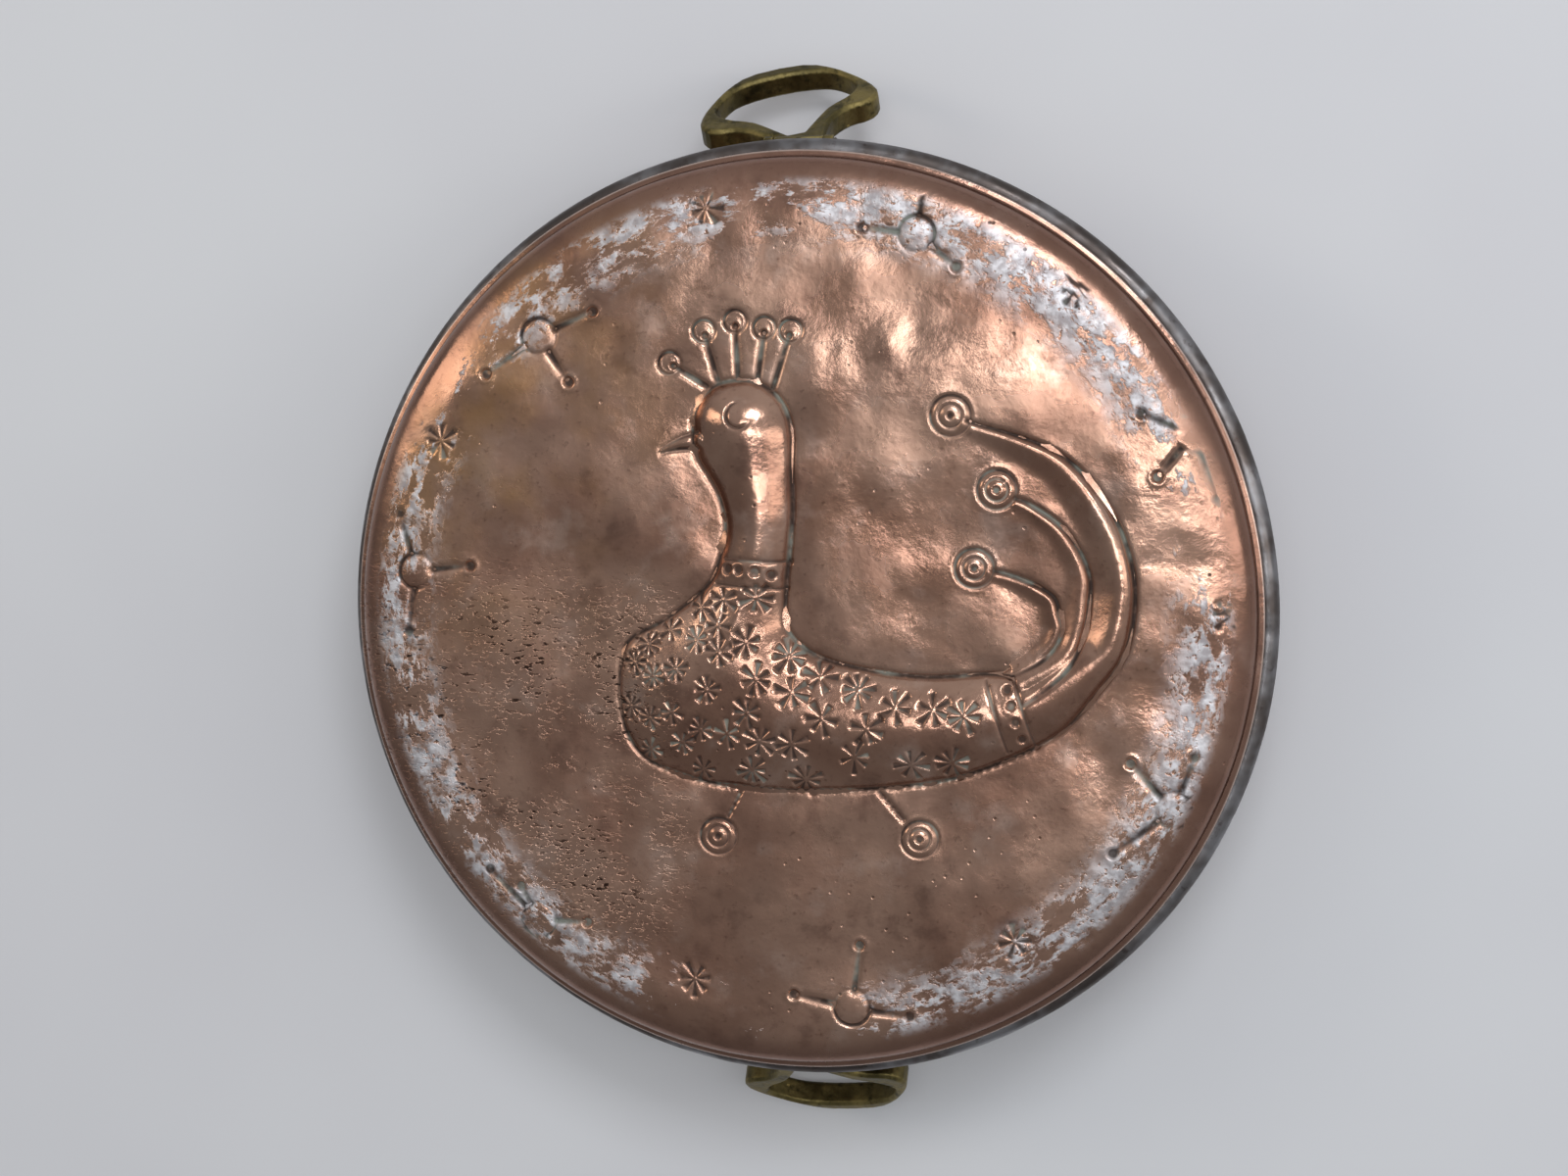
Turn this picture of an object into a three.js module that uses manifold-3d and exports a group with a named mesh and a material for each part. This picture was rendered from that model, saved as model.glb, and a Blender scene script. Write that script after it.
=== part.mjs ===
// Bed warming pan: a round copper pan with a wired rim, a lift-off copper lid with an embossed
// peacock, and two cast brass drop handles hinged to brackets on its wall. Millimetres, +Z up.
// The origin is the centre of the flat bottom, and +Y points to the top handle.

import * as THREE from "three";
import { mergeVertices } from "three/addons/utils/BufferGeometryUtils.js";
import Module from "manifold-3d";

const wasm = await Module();
wasm.setup();

// ---- Driving dimensions ----

const SHEET = 1.2; // beaten copper sheet of the pan and the lid
const SEAT_GAP = 0.3; // clearance between two pieces that touch

const PAN_RADIUS = 164; // outside of the rolled rim
const PAN_DEPTH = 64; // table to the top of the rolled rim
const WALL_LEAN = THREE.MathUtils.degToRad(18); // how far the wall leans out
const CORNER_RADIUS = 20; // bend between the bottom and the wall
const WIRE_DIAMETER = 5; // iron wire in the rolled rim
const ROLL_SLIT = 1; // opening where the rolled edge comes back to the wall

const LID_INSET = 3.8; // outside of the rolled rim to the cut edge of the lid's lip
const LID_RISE = 12; // rim to the lid's flat top, at its edge
const LID_DOME = 2.5; // how much higher the middle of the lid stands
const LIP_WIDTH = 2.4; // lip that rests on the rim
const SHOULDER_RADIUS = 7; // bend between the lid's top and its skirt
const COLLAR_SHEET = 1; // tinned strip soldered inside the lid
const COLLAR_DEPTH = 10; // how far the strip reaches below the rim
const COLLAR_LAP = 3; // strip soldered against the skirt
const COLLAR_PLAY = 1.6; // clearance of the strip in the mouth
const LID_SHIFT = new THREE.Vector2(-1.1, -0.5); // the lid lies off centre within that play

const LOOP_WIDTH = 64; // handle, ear to ear
const LOOP_REACH = 50; // handle, hinge pin to the outer bar
const LOOP_THICKNESS = 9;
const LOOP_SKEW = THREE.MathUtils.degToRad(17); // the castings lean to one side
const LOOP_FRONT = 1.5; // the loop's front face above the hinge pin
const NECK_WIDTH = 17.4;
const HEEL_START = 1.5; // hinge pin to the back edge of the neck
const CAST_BEVEL = 1.1; // worn edges of the casting

const KNUCKLE_RADIUS = 3.4; // turned end of the handle, round the pin
const PIN_RADIUS = 1.8;
const PIN_PLAY = 0.1; // running clearance of the pin in its holes
const PIN_HEAD_RADIUS = 2.8;
const PIN_HEAD_HEIGHT = 1.2;
const EAR_RADIUS = 3.6; // lugs of the bracket, round the pin
const EAR_THICKNESS = 3.2;
const EAR_FOOT = 5.4; // how far a lug's root reaches below the pin
const EAR_BACK = 0.7; // how far it reaches above the pin
const BRACKET_WIDTH = 50;
const BRACKET_HEIGHT = 21;
const BRACKET_THICKNESS = 2.5;
const HINGE_DROP = 9.5; // top of the rim to the place on the wall that is square behind the pin
const BRACKET_DROP = 18.5; // top of the rim to the middle of the bracket
const RIVET_RADIUS = 2;
const RIVET_HEAD_RADIUS = 3.5;
const RIVET_HEAD_HEIGHT = 2;
const RIVET_INSET = 8; // end of the bracket to an outer rivet
const RIVET_DROP = 5; // how much lower the middle rivet sits
const RIVET_CROWN = new THREE.Vector2(0.6, 0.8); // its rounding, as shares of radius and height

const RELIEF_HEIGHT = 9; // the peacock's body above the lid
const CHASED_HEIGHT = 1.8; // stems, bosses and rings
const STEM_RADIUS = 1.4;
const RING_RADIUS = 4.2; // rings at the tips of the crest
const TARGET_RADIUS = 7; // ringed bosses of the feet and the feathers
const ORNAMENT_RADIUS = 6; // bosses of the ornaments round the lid's edge

// Where each handle stands round the pan, and how far below level it hangs.
const TOP_AZIMUTH = THREE.MathUtils.degToRad(91.2);
const TOP_DROOP = THREE.MathUtils.degToRad(52);
const BOTTOM_AZIMUTH = THREE.MathUtils.degToRad(268.6);
const BOTTOM_DROOP = THREE.MathUtils.degToRad(56);

const HANDLES = [
  { name: "top", azimuth: TOP_AZIMUTH, droop: TOP_DROOP },
  { name: "bottom", azimuth: BOTTOM_AZIMUTH, droop: BOTTOM_DROOP },
];

const ROUND_STEPS = 60; // facets round the pan and the lid
const WIRE_STEPS = 6;
const RIVET_STEPS = 8;
const PIN_STEPS = 12;
const BOSS_STEPS = 10;
const BEND_STEP = THREE.MathUtils.degToRad(36);
const DOME_STEPS = [0, 0.4, 0.75]; // rings of corners on the lid's flat top, as shares of its radius
const RELIEF_EDGE = 0.99; // the relief ends at this share of it
const MITRE_LIMIT = 0.5; // keeps the corner of a sheet from running out
const FIT = 0.001; // below this two corners are one

// ---- Sizes that follow from them ----

const rollRadius = WIRE_DIAMETER / 2 + SEAT_GAP + SHEET / 2; // wire centre to mid-sheet
const rollOutside = rollRadius + SHEET / 2;
const rimCentre = new THREE.Vector2(PAN_RADIUS - rollOutside, PAN_DEPTH - rollOutside);
const alongWall = new THREE.Vector2(Math.sin(WALL_LEAN), Math.cos(WALL_LEAN));
const outOfWall = new THREE.Vector2(Math.cos(WALL_LEAN), -Math.sin(WALL_LEAN));
const wallTop = rimCentre.clone().addScaledVector(outOfWall, -rollRadius);
const cornerEnd = wallPoint(SHEET / 2 + CORNER_RADIUS * (1 - Math.sin(WALL_LEAN)));
const bottomRadius = cornerEnd.x - CORNER_RADIUS * Math.cos(WALL_LEAN);

const bracketMiddle = wallPoint(PAN_DEPTH - BRACKET_DROP);
const bracketInside = SHEET / 2 + SEAT_GAP; // from the middle of the wall's sheet
const bracketOutside = bracketInside + BRACKET_THICKNESS;
const hinge = wallPoint(PAN_DEPTH - HINGE_DROP)
  .addScaledVector(outOfWall, bracketOutside + 2 * SEAT_GAP + KNUCKLE_RADIUS);
const pinHoleRadius = PIN_RADIUS + PIN_PLAY;
const earStart = NECK_WIDTH / 2 + SEAT_GAP; // middle of the knuckle to the inside of a lug
const rivetTurn = (BRACKET_WIDTH / 2 - RIVET_INSET) / bracketMiddle.x; // middle rivet to an outer one

const lipHeight = PAN_DEPTH + SEAT_GAP + SHEET / 2; // mid-sheet of the lid's lip
const lidRadius = PAN_RADIUS - LID_INSET;
const skirtRadius = lidRadius - LIP_WIDTH - SHEET / 2; // mid-sheet of the lid's skirt
const lidEdgeHeight = PAN_DEPTH + LID_RISE - SHEET / 2; // mid-sheet where the shoulder begins
const lidFlatRadius = skirtRadius - SHOULDER_RADIUS;
const reliefUnit = lidFlatRadius / 100; // the relief is laid out in hundredths of the flat top

// The middle of the wall's sheet at a height, as (radius, height).
function wallPoint(height) {
  return wallTop.clone().addScaledVector(alongWall, (height - wallTop.y) / alongWall.y);
}

// The middle of the lid's sheet, which is a shallow dome, at a distance from its middle.
function lidHeight(radius) {
  return lidEdgeHeight + LID_DOME * (1 - (radius / lidFlatRadius) ** 2);
}

// ---- Building with closed solids ----

function toSolid(geometry) {
  geometry.deleteAttribute("normal");
  geometry.deleteAttribute("uv");
  const merged = mergeVertices(geometry, FIT);
  return new wasm.Manifold(new wasm.Mesh({
    numProp: 3,
    vertProperties: merged.attributes.position.array,
    triVerts: merged.index.array,
  }));
}

function toMesh(solid, name, material) {
  const { vertProperties, triVerts } = solid.getMesh();
  const geometry = new THREE.BufferGeometry();
  geometry.setAttribute("position", new THREE.BufferAttribute(vertProperties, 3));
  geometry.setIndex(new THREE.BufferAttribute(triVerts, 1));
  geometry.computeVertexNormals();
  const mesh = new THREE.Mesh(geometry, material);
  mesh.name = name;
  return mesh;
}

// Turns a closed outline of (radius, height) points about the Z axis.
function revolve(outline, steps = ROUND_STEPS) {
  const geometry = new THREE.LatheGeometry(outline, steps);
  geometry.rotateX(Math.PI / 2);
  return toSolid(geometry);
}

// Points of an arc round a centre, with both ends.
function arc(centre, radius, from, to) {
  const steps = Math.max(1, Math.round(Math.abs(to - from) / BEND_STEP));
  return Array.from({ length: steps + 1 }, (_, i) => {
    const angle = from + ((to - from) * i) / steps;
    return new THREE.Vector2(Math.cos(angle), Math.sin(angle)).multiplyScalar(radius).add(centre);
  });
}

// The path moved sideways by a distance, to its left as it runs.
function offsetPath(path, distance) {
  return path.map((point, i) => {
    const before = path[Math.max(i - 1, 0)];
    const after = path[Math.min(i + 1, path.length - 1)];
    const into = point.clone().sub(before).normalize();
    const out = after.clone().sub(point).normalize();
    const run = into.add(out).normalize();
    const edge = (i === 0 || i === path.length - 1) ? run : after.clone().sub(point).normalize();
    const stretch = 1 / Math.max(run.dot(edge), MITRE_LIMIT);
    return point.clone().add(new THREE.Vector2(-run.y, run.x).multiplyScalar(distance * stretch));
  });
}

// Closed outline of a sheet whose middle follows a path. A path that starts on the axis keeps
// both its faces on the axis there.
function sheetOutline(path, thickness) {
  const right = offsetPath(path, -thickness / 2);
  const left = offsetPath(path, thickness / 2);
  if (path[0].x < FIT) {
    right[0].x = 0;
    left[0].x = 0;
    return [...right, ...left.reverse()];
  }
  return [...right, ...left.reverse(), right[0].clone()];
}

// ---- The pan ----

function panPath() {
  const corner = new THREE.Vector2(bottomRadius, SHEET / 2 + CORNER_RADIUS);
  const slitAngle = Math.acos(1 - (ROLL_SLIT + SHEET) / rollRadius);
  return [
    new THREE.Vector2(0, SHEET / 2),
    ...arc(corner, CORNER_RADIUS, -Math.PI / 2, -WALL_LEAN),
    ...arc(rimCentre, rollRadius, Math.PI - WALL_LEAN, slitAngle - Math.PI - WALL_LEAN),
  ];
}

function panBody() {
  const holes = HANDLES.flatMap((handle) => rivetPlaces(handle).map(rivetHole));
  return holes.reduce((pan, hole) => pan.subtract(hole), revolve(sheetOutline(panPath(), SHEET)));
}

function rimWire() {
  const wire = new THREE.TorusGeometry(rimCentre.x, WIRE_DIAMETER / 2, WIRE_STEPS, ROUND_STEPS);
  wire.translate(0, 0, rimCentre.y);
  return toSolid(wire);
}

// ---- The handles ----

// A frame at a place on the wall: X along the wall, Y straight out from the axis, Z up.
function onWall(geometry, azimuth) {
  geometry.rotateZ(azimuth - Math.PI / 2);
  return toSolid(geometry);
}

// Puts a shape from the hinge pin's own frame, X along the pin, into its place on the wall.
function atHinge(geometry, azimuth) {
  geometry.translate(0, hinge.x, hinge.y);
  return onWall(geometry, azimuth);
}

function alongPin(radius, length, azimuth) {
  const bar = new THREE.CylinderGeometry(radius, radius, length, PIN_STEPS);
  bar.rotateZ(Math.PI / 2);
  return atHinge(bar, azimuth);
}

// One half of the casting's outline, from the neck round an ear to the outer bar, as shares of
// half the loop's width and of its reach. The other half is its mirror image.
const LOOP_HALF = [[0.38, 0.18], [0.5, 0.26], [0.66, 0.314], [0.81, 0.326], [0.94, 0.37], [1, 0.47],
  [0.93, 0.6], [0.78, 0.74], [0.58, 0.88], [0.28, 0.984]];
const HOLE_HALF = [[0.09, 0.13], [0.24, 0.25], [0.42, 0.38], [0.64, 0.46], [0.77, 0.55], [0.76, 0.65],
  [0.64, 0.76], [0.48, 0.835], [0.18, 0.875]];

// The whole outline from its half, turned by the lean of the casting.
function loopPoints(half) {
  const scale = new THREE.Vector2(LOOP_WIDTH / 2, LOOP_REACH);
  const right = half.map(([across, out]) => new THREE.Vector2(across, out).multiply(scale));
  const left = right.map((point) => new THREE.Vector2(-point.x, point.y)).reverse();
  const pin = new THREE.Vector2();
  return [...right, ...left].map((point) => point.rotateAround(pin, LOOP_SKEW));
}

function loopShape() {
  const neck = NECK_WIDTH / 2;
  const neckEnd = EAR_RADIUS + 2 * SEAT_GAP;
  const shape = new THREE.Shape();
  shape.moveTo(-neck, neckEnd);
  shape.lineTo(-neck, HEEL_START);
  shape.lineTo(neck, HEEL_START);
  shape.lineTo(neck, neckEnd);
  shape.splineThru(loopPoints(LOOP_HALF));
  shape.closePath();
  const hole = new THREE.Path();
  const rim = loopPoints(HOLE_HALF);
  hole.moveTo(rim[0].x, rim[0].y);
  hole.splineThru(rim.slice(1));
  hole.closePath();
  shape.holes.push(hole);
  return shape;
}

function castLoop({ azimuth, droop }) {
  const loop = new THREE.ExtrudeGeometry(loopShape(), {
    depth: LOOP_THICKNESS - 2 * CAST_BEVEL,
    bevelThickness: CAST_BEVEL,
    bevelSize: CAST_BEVEL,
    bevelOffset: -CAST_BEVEL,
    bevelSegments: 1,
    curveSegments: 2,
  });
  loop.translate(0, 0, LOOP_FRONT + CAST_BEVEL - LOOP_THICKNESS);
  loop.rotateX(-droop);
  return atHinge(loop, azimuth);
}

function castHandle(handle) {
  const knuckle = alongPin(KNUCKLE_RADIUS, NECK_WIDTH, handle.azimuth);
  const bore = alongPin(pinHoleRadius, 2 * NECK_WIDTH, handle.azimuth);
  return castLoop(handle).add(knuckle).subtract(bore);
}

function hingePin({ azimuth }) {
  const half = earStart + EAR_THICKNESS + SEAT_GAP;
  const profile = [
    new THREE.Vector2(0, -half - PIN_HEAD_HEIGHT),
    new THREE.Vector2(PIN_RADIUS, -half - PIN_HEAD_HEIGHT),
    new THREE.Vector2(PIN_HEAD_RADIUS, -half),
    new THREE.Vector2(PIN_RADIUS, -half),
    new THREE.Vector2(PIN_RADIUS, half),
    new THREE.Vector2(PIN_HEAD_RADIUS, half),
    new THREE.Vector2(PIN_RADIUS, half + PIN_HEAD_HEIGHT),
    new THREE.Vector2(0, half + PIN_HEAD_HEIGHT),
  ];
  const pin = new THREE.LatheGeometry(profile, PIN_STEPS);
  pin.rotateZ(-Math.PI / 2);
  return atHinge(pin, azimuth);
}

// The bracket's plate is the oval that is cut from a jacket which lies round the wall.
function bracketPlate({ azimuth }) {
  const low = bracketMiddle.clone().addScaledVector(alongWall, -BRACKET_HEIGHT);
  const high = wallTop;
  const jacket = revolve([
    low.clone().addScaledVector(outOfWall, bracketInside),
    low.clone().addScaledVector(outOfWall, bracketOutside),
    high.clone().addScaledVector(outOfWall, bracketOutside),
    high.clone().addScaledVector(outOfWall, bracketInside),
    low.clone().addScaledVector(outOfWall, bracketInside),
  ]);
  const oval = new THREE.Shape();
  oval.absellipse(0, 0, BRACKET_WIDTH / 2, BRACKET_HEIGHT / 2, 0, 2 * Math.PI);
  const depth = BRACKET_WIDTH;
  const plug = new THREE.ExtrudeGeometry(oval, { depth, bevelEnabled: false, curveSegments: 10 });
  plug.translate(0, 0, -depth / 2);
  plug.rotateX(Math.PI / 2 - WALL_LEAN);
  plug.translate(0, bracketMiddle.x, bracketMiddle.y);
  return jacket.intersect(onWall(plug, azimuth));
}

// A lug: round about the pin, with two flat flanks that run back into the plate.
function bracketEar(side, { azimuth }) {
  const root = -BRACKET_THICKNESS / 2 - 2 * SEAT_GAP - KNUCKLE_RADIUS;
  const profile = new THREE.Shape([
    new THREE.Vector2(root, -EAR_FOOT),
    ...arc(new THREE.Vector2(), EAR_RADIUS, -Math.PI / 2, Math.PI / 2),
    new THREE.Vector2(root, EAR_BACK),
  ]);
  const ear = new THREE.ExtrudeGeometry(profile, { depth: EAR_THICKNESS, bevelEnabled: false });
  ear.rotateZ(-WALL_LEAN);
  const start = side > 0 ? earStart : -earStart - EAR_THICKNESS;
  ear.translate(0, 0, start);
  ear.applyMatrix4(new THREE.Matrix4().makeBasis(
    new THREE.Vector3(0, 1, 0),
    new THREE.Vector3(0, 0, 1),
    new THREE.Vector3(1, 0, 0),
  ));
  return atHinge(ear, azimuth);
}

function hingeBracket(handle) {
  const bracket = bracketPlate(handle).add(bracketEar(1, handle)).add(bracketEar(-1, handle));
  const bore = alongPin(pinHoleRadius, 2 * BRACKET_WIDTH, handle.azimuth);
  const holes = [bore, ...rivetPlaces(handle).map(rivetHole)];
  return holes.reduce((rest, hole) => rest.subtract(hole), bracket);
}

// ---- The rivets ----

// Two outer rivets and a lower middle one for each bracket, as azimuth and height.
function rivetPlaces({ azimuth }) {
  return [
    { azimuth: azimuth - rivetTurn, height: bracketMiddle.y },
    { azimuth, height: bracketMiddle.y - RIVET_DROP },
    { azimuth: azimuth + rivetTurn, height: bracketMiddle.y },
  ];
}

// Turns a shape on the Y axis to stand square on the middle of the wall's sheet.
function throughWall(geometry, { azimuth, height }) {
  geometry.rotateX(-WALL_LEAN);
  geometry.translate(0, wallPoint(height).x, height);
  return onWall(geometry, azimuth);
}

function rivetHole(place) {
  const reach = 2 * (bracketOutside + RIVET_HEAD_HEIGHT);
  const radius = RIVET_RADIUS + SEAT_GAP;
  return throughWall(new THREE.CylinderGeometry(radius, radius, reach, RIVET_STEPS), place);
}

function rivet(place) {
  const inside = -SHEET / 2 - SEAT_GAP;
  const outside = bracketOutside + SEAT_GAP;
  const crown = new THREE.Vector2(RIVET_HEAD_RADIUS, RIVET_HEAD_HEIGHT).multiply(RIVET_CROWN);
  const profile = [
    new THREE.Vector2(0, inside - RIVET_HEAD_HEIGHT),
    new THREE.Vector2(crown.x, inside - crown.y),
    new THREE.Vector2(RIVET_HEAD_RADIUS, inside),
    new THREE.Vector2(RIVET_RADIUS, inside),
    new THREE.Vector2(RIVET_RADIUS, outside),
    new THREE.Vector2(RIVET_HEAD_RADIUS, outside),
    new THREE.Vector2(crown.x, outside + crown.y),
    new THREE.Vector2(0, outside + RIVET_HEAD_HEIGHT),
  ];
  return throughWall(new THREE.LatheGeometry(profile, RIVET_STEPS), place);
}

// ---- The lid ----

// Points of the dome's middle at shares of its radius, lowered by a distance.
function domePoints(shares, drop) {
  return shares.map((share) => {
    const radius = share * lidFlatRadius;
    return new THREE.Vector2(radius, lidHeight(radius) - drop);
  });
}

function lidPath() {
  const shoulder = new THREE.Vector2(lidFlatRadius, lidEdgeHeight - SHOULDER_RADIUS);
  const fold = new THREE.Vector2(skirtRadius + SHEET, lipHeight + SHEET);
  return [
    ...domePoints(DOME_STEPS, 0),
    ...arc(shoulder, SHOULDER_RADIUS, Math.PI / 2, 0),
    ...arc(fold, SHEET, -Math.PI, -Math.PI / 2),
    new THREE.Vector2(lidRadius, lipHeight),
  ];
}

// The strip that finds the mouth: slanted like the wall below the rim, upright against the skirt.
function collarPath() {
  const bottom = wallPoint(PAN_DEPTH - COLLAR_DEPTH);
  const rim = wallTop.clone();
  const fromWall = SHEET / 2 + COLLAR_PLAY + COLLAR_SHEET / 2;
  const lap = skirtRadius - SHEET / 2 - SEAT_GAP - COLLAR_SHEET / 2;
  const lapTop = lidEdgeHeight - SHOULDER_RADIUS;
  return [
    bottom.addScaledVector(outOfWall, -fromWall),
    rim.addScaledVector(outOfWall, -fromWall),
    new THREE.Vector2(lap, lapTop - COLLAR_LAP),
    new THREE.Vector2(lap, lapTop),
  ];
}

// A form drawn out along a curved spine on the lid: a ball whose sections follow the spine. Each
// station is x, y and half width, in hundredths of the flat top's radius, and its height as a share
// of RELIEF_HEIGHT. An inset draws the same form that much smaller, for its hollow back.
function drawnForm({ stations, around = 12, along = 12 }, inset = 0) {
  const spine = new THREE.CatmullRomCurve3(stations.map(([x, y]) => {
    return new THREE.Vector3(x, y, 0).multiplyScalar(reliefUnit);
  }));
  const sizes = new THREE.CatmullRomCurve3(stations.map(([, , halfWidth, height]) => {
    return new THREE.Vector3(halfWidth * reliefUnit, height * RELIEF_HEIGHT, 0);
  }));
  const ball = new THREE.SphereGeometry(1, around, along);
  const corners = ball.attributes.position;
  const trim = inset / spine.getLength();
  for (let i = 0; i < corners.count; i += 1) {
    const share = trim + (1 - 2 * trim) * (1 - corners.getY(i)) / 2;
    const girth = Math.max(Math.hypot(corners.getX(i), corners.getZ(i)), FIT);
    const turn = new THREE.Vector2(corners.getX(i), corners.getZ(i)).divideScalar(girth);
    const run = spine.getTangent(share);
    const size = sizes.getPoint(share).subScalar(inset);
    const across = turn.x * Math.max(size.x, FIT);
    const corner = spine.getPoint(share).add(new THREE.Vector3(-run.y * across, run.x * across, 0));
    const ground = lidHeight(Math.hypot(corner.x, corner.y));
    corners.setXYZ(i, corner.x, corner.y, ground + turn.y * Math.max(size.y, FIT));
  }
  return toSolid(ball);
}

// Everything above the middle of the lid's sheet, lowered by a distance.
function aboveLid(drop) {
  const floor = domePoints([...DOME_STEPS, RELIEF_EDGE], drop);
  const ceiling = lidEdgeHeight + LID_DOME + 2 * RELIEF_HEIGHT;
  return revolve([
    ...floor,
    new THREE.Vector2(floor.at(-1).x, ceiling),
    new THREE.Vector2(0, ceiling),
  ]);
}

// ---- The embossed peacock ----

const BODY = { // breast to tail
  stations: [[-40.6, -18.5, 3, 0.4], [-38.2, -18, 9.8, 0.7], [-34.5, -17.7, 14, 0.88],
    [-28.5, -18, 17.6, 0.97], [-20, -19, 19, 1], [-10, -21, 18.4, 1], [2, -23, 16.6, 1],
    [14, -24.8, 14.3, 0.96], [27, -25, 12.7, 0.9], [40, -23.6, 11.5, 0.8], [50, -21.6, 9.7, 0.72],
    [56, -20, 8.4, 0.65]],
};

const NECK = { // crown of the head to the shoulder
  stations: [[-11.7, 54.6, 2, 0.4], [-12.1, 51.3, 8, 0.8], [-11.9, 46.6, 10.9, 0.95],
    [-11.4, 41.3, 11.5, 1], [-10.7, 35.3, 10.8, 0.95], [-8.3, 27.3, 8.6, 0.9], [-7.7, 20, 7.8, 0.88],
    [-9, 12, 8.3, 0.88], [-12.5, 3.3, 11.3, 0.92], [-18, -6, 14.5, 0.95], [-22, -16, 9, 0.6]],
};

const BEAK = {
  stations: [[-20.6, 40.6, 3, 0.5], [-25.3, 39.8, 1.9, 0.3], [-30.2, 38.1, 0.5, 0.1]],
  around: 8,
  along: 4,
};

// The three curled feathers of the tail, the outer one first.
const FEATHERS = [
  {
    stations: [[50, -22.5, 6.5, 0.5], [56, -20, 7.6, 0.62], [61.5, -15.6, 7, 0.6], [66.3, -9, 6, 0.5],
      [70.6, -1.3, 5.3, 0.4], [72.6, 8, 5, 0.35], [70, 20, 4.5, 0.3], [62.6, 31.3, 3.7, 0.28],
      [52, 39, 2.7, 0.22], [39, 45, 1.3, 0.12]],
    around: 8,
  },
  {
    stations: [[52, -16, 3.7, 0.4], [58.3, -10.7, 3.7, 0.42], [63.3, -3.7, 3, 0.35],
      [64.2, 11.3, 2.7, 0.28], [60, 18.6, 2.3, 0.25], [48.6, 28, 1.2, 0.12]],
    around: 6,
    along: 9,
  },
  {
    stations: [[50.6, -10.3, 1.4, 0.15], [56, -7.6, 1.9, 0.22], [60, -1, 2, 0.22],
      [57.3, 5.3, 1.8, 0.2], [46, 11, 1, 0.12]],
    around: 6,
    along: 8,
  },
];

// Chased stems from the bird to the ring at their tips: the five of its crest, then its two legs.
const STEMS = [
  { from: [-19.9, 52.9], ring: [-28.6, 58] },
  { from: [-17.4, 54.2], ring: [-20.6, 65.3] },
  { from: [-12.6, 54.9], ring: [-13.2, 67.6] },
  { from: [-8, 54.3], ring: [-6.4, 66] },
  { from: [-4.4, 52.5], ring: [-0.3, 65.4] },
  { from: [-11.6, -39.7], ring: [-17.2, -50.9], radius: TARGET_RADIUS },
  { from: [20.5, -39.3], ring: [29.8, -50.1], radius: TARGET_RADIUS },
];

const FEATHER_TIPS = [[36.5, 46.5], [47, 30], [42, 12.2]];
const ORNAMENTS = [[-59.7, 64.2], [28.3, 87.2], [90.5, 42.8], [87.2, -41.6], [14, -90.3], [-60.9, -72.8],
  [-90, 9.2]];

// A low round boss with its middle on the lid's sheet.
function boss([x, y], radius) {
  const ball = new THREE.SphereGeometry(1, BOSS_STEPS, 4);
  const middle = new THREE.Vector2(x, y).multiplyScalar(reliefUnit);
  ball.rotateX(Math.PI / 2);
  ball.scale(radius, radius, CHASED_HEIGHT);
  ball.translate(middle.x, middle.y, lidHeight(middle.length()));
  return toSolid(ball);
}

function stem({ from, ring }) {
  const size = [STEM_RADIUS / reliefUnit, CHASED_HEIGHT / RELIEF_HEIGHT];
  return drawnForm({ stations: [[...from, ...size], [...ring, ...size]], around: 4, along: 4 });
}

function lidCover() {
  const sheet = revolve(sheetOutline(lidPath(), SHEET));
  const raised = [BODY, NECK, BEAK, ...FEATHERS].map((form) => drawnForm(form));
  const chased = [
    ...STEMS.map(stem),
    ...STEMS.map(({ ring, radius = RING_RADIUS }) => boss(ring, radius)),
    ...FEATHER_TIPS.map((at) => boss(at, TARGET_RADIUS)),
    ...ORNAMENTS.map((at) => boss(at, ORNAMENT_RADIUS)),
  ];
  const hollow = [BODY, NECK, FEATHERS[0]].map((form) => drawnForm(form, SHEET));
  const relief = [...raised, ...chased].reduce((all, form) => all.add(form)).intersect(aboveLid(0));
  const reverse = hollow.reduce((all, form) => all.add(form)).intersect(aboveLid(2 * SHEET));
  return sheet.add(relief).subtract(reverse);
}

// ---- Assembly ----

const copper = new THREE.MeshStandardMaterial({ color: 0xa86a4a, roughness: 0.38, metalness: 1 });
const tinned = new THREE.MeshStandardMaterial({ color: 0x9a9a98, roughness: 0.5, metalness: 1 });
const iron = new THREE.MeshStandardMaterial({ color: 0x4a4644, roughness: 0.7, metalness: 1 });
const brass = new THREE.MeshStandardMaterial({ color: 0x8a7a45, roughness: 0.45, metalness: 1 });

const pan = new THREE.Group();
pan.add(toMesh(panBody(), "pan_body", copper));
pan.add(toMesh(rimWire(), "rim_wire", iron));
for (const handle of HANDLES) {
  pan.add(toMesh(castHandle(handle), `handle_${handle.name}`, brass));
  pan.add(toMesh(hingeBracket(handle), `hinge_bracket_${handle.name}`, brass));
  pan.add(toMesh(hingePin(handle), `hinge_pin_${handle.name}`, iron));
  rivetPlaces(handle).forEach((place, i) => {
    pan.add(toMesh(rivet(place), `rivet_${handle.name}_${i + 1}`, copper));
  });
}

const lid = new THREE.Group();
lid.position.set(LID_SHIFT.x, LID_SHIFT.y, 0);
lid.add(toMesh(lidCover(), "lid_cover", copper));
lid.add(toMesh(revolve(sheetOutline(collarPath(), COLLAR_SHEET)), "lid_collar", tinned));

const warmingPan = new THREE.Group();
warmingPan.add(pan, lid);

export default warmingPan;
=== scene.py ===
"""The looks of the bed warming pan: beaten copper, cast brass and tinned sheet in soft light."""

import math

import bpy
import numpy as np
from mathutils import Matrix, Vector


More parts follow.
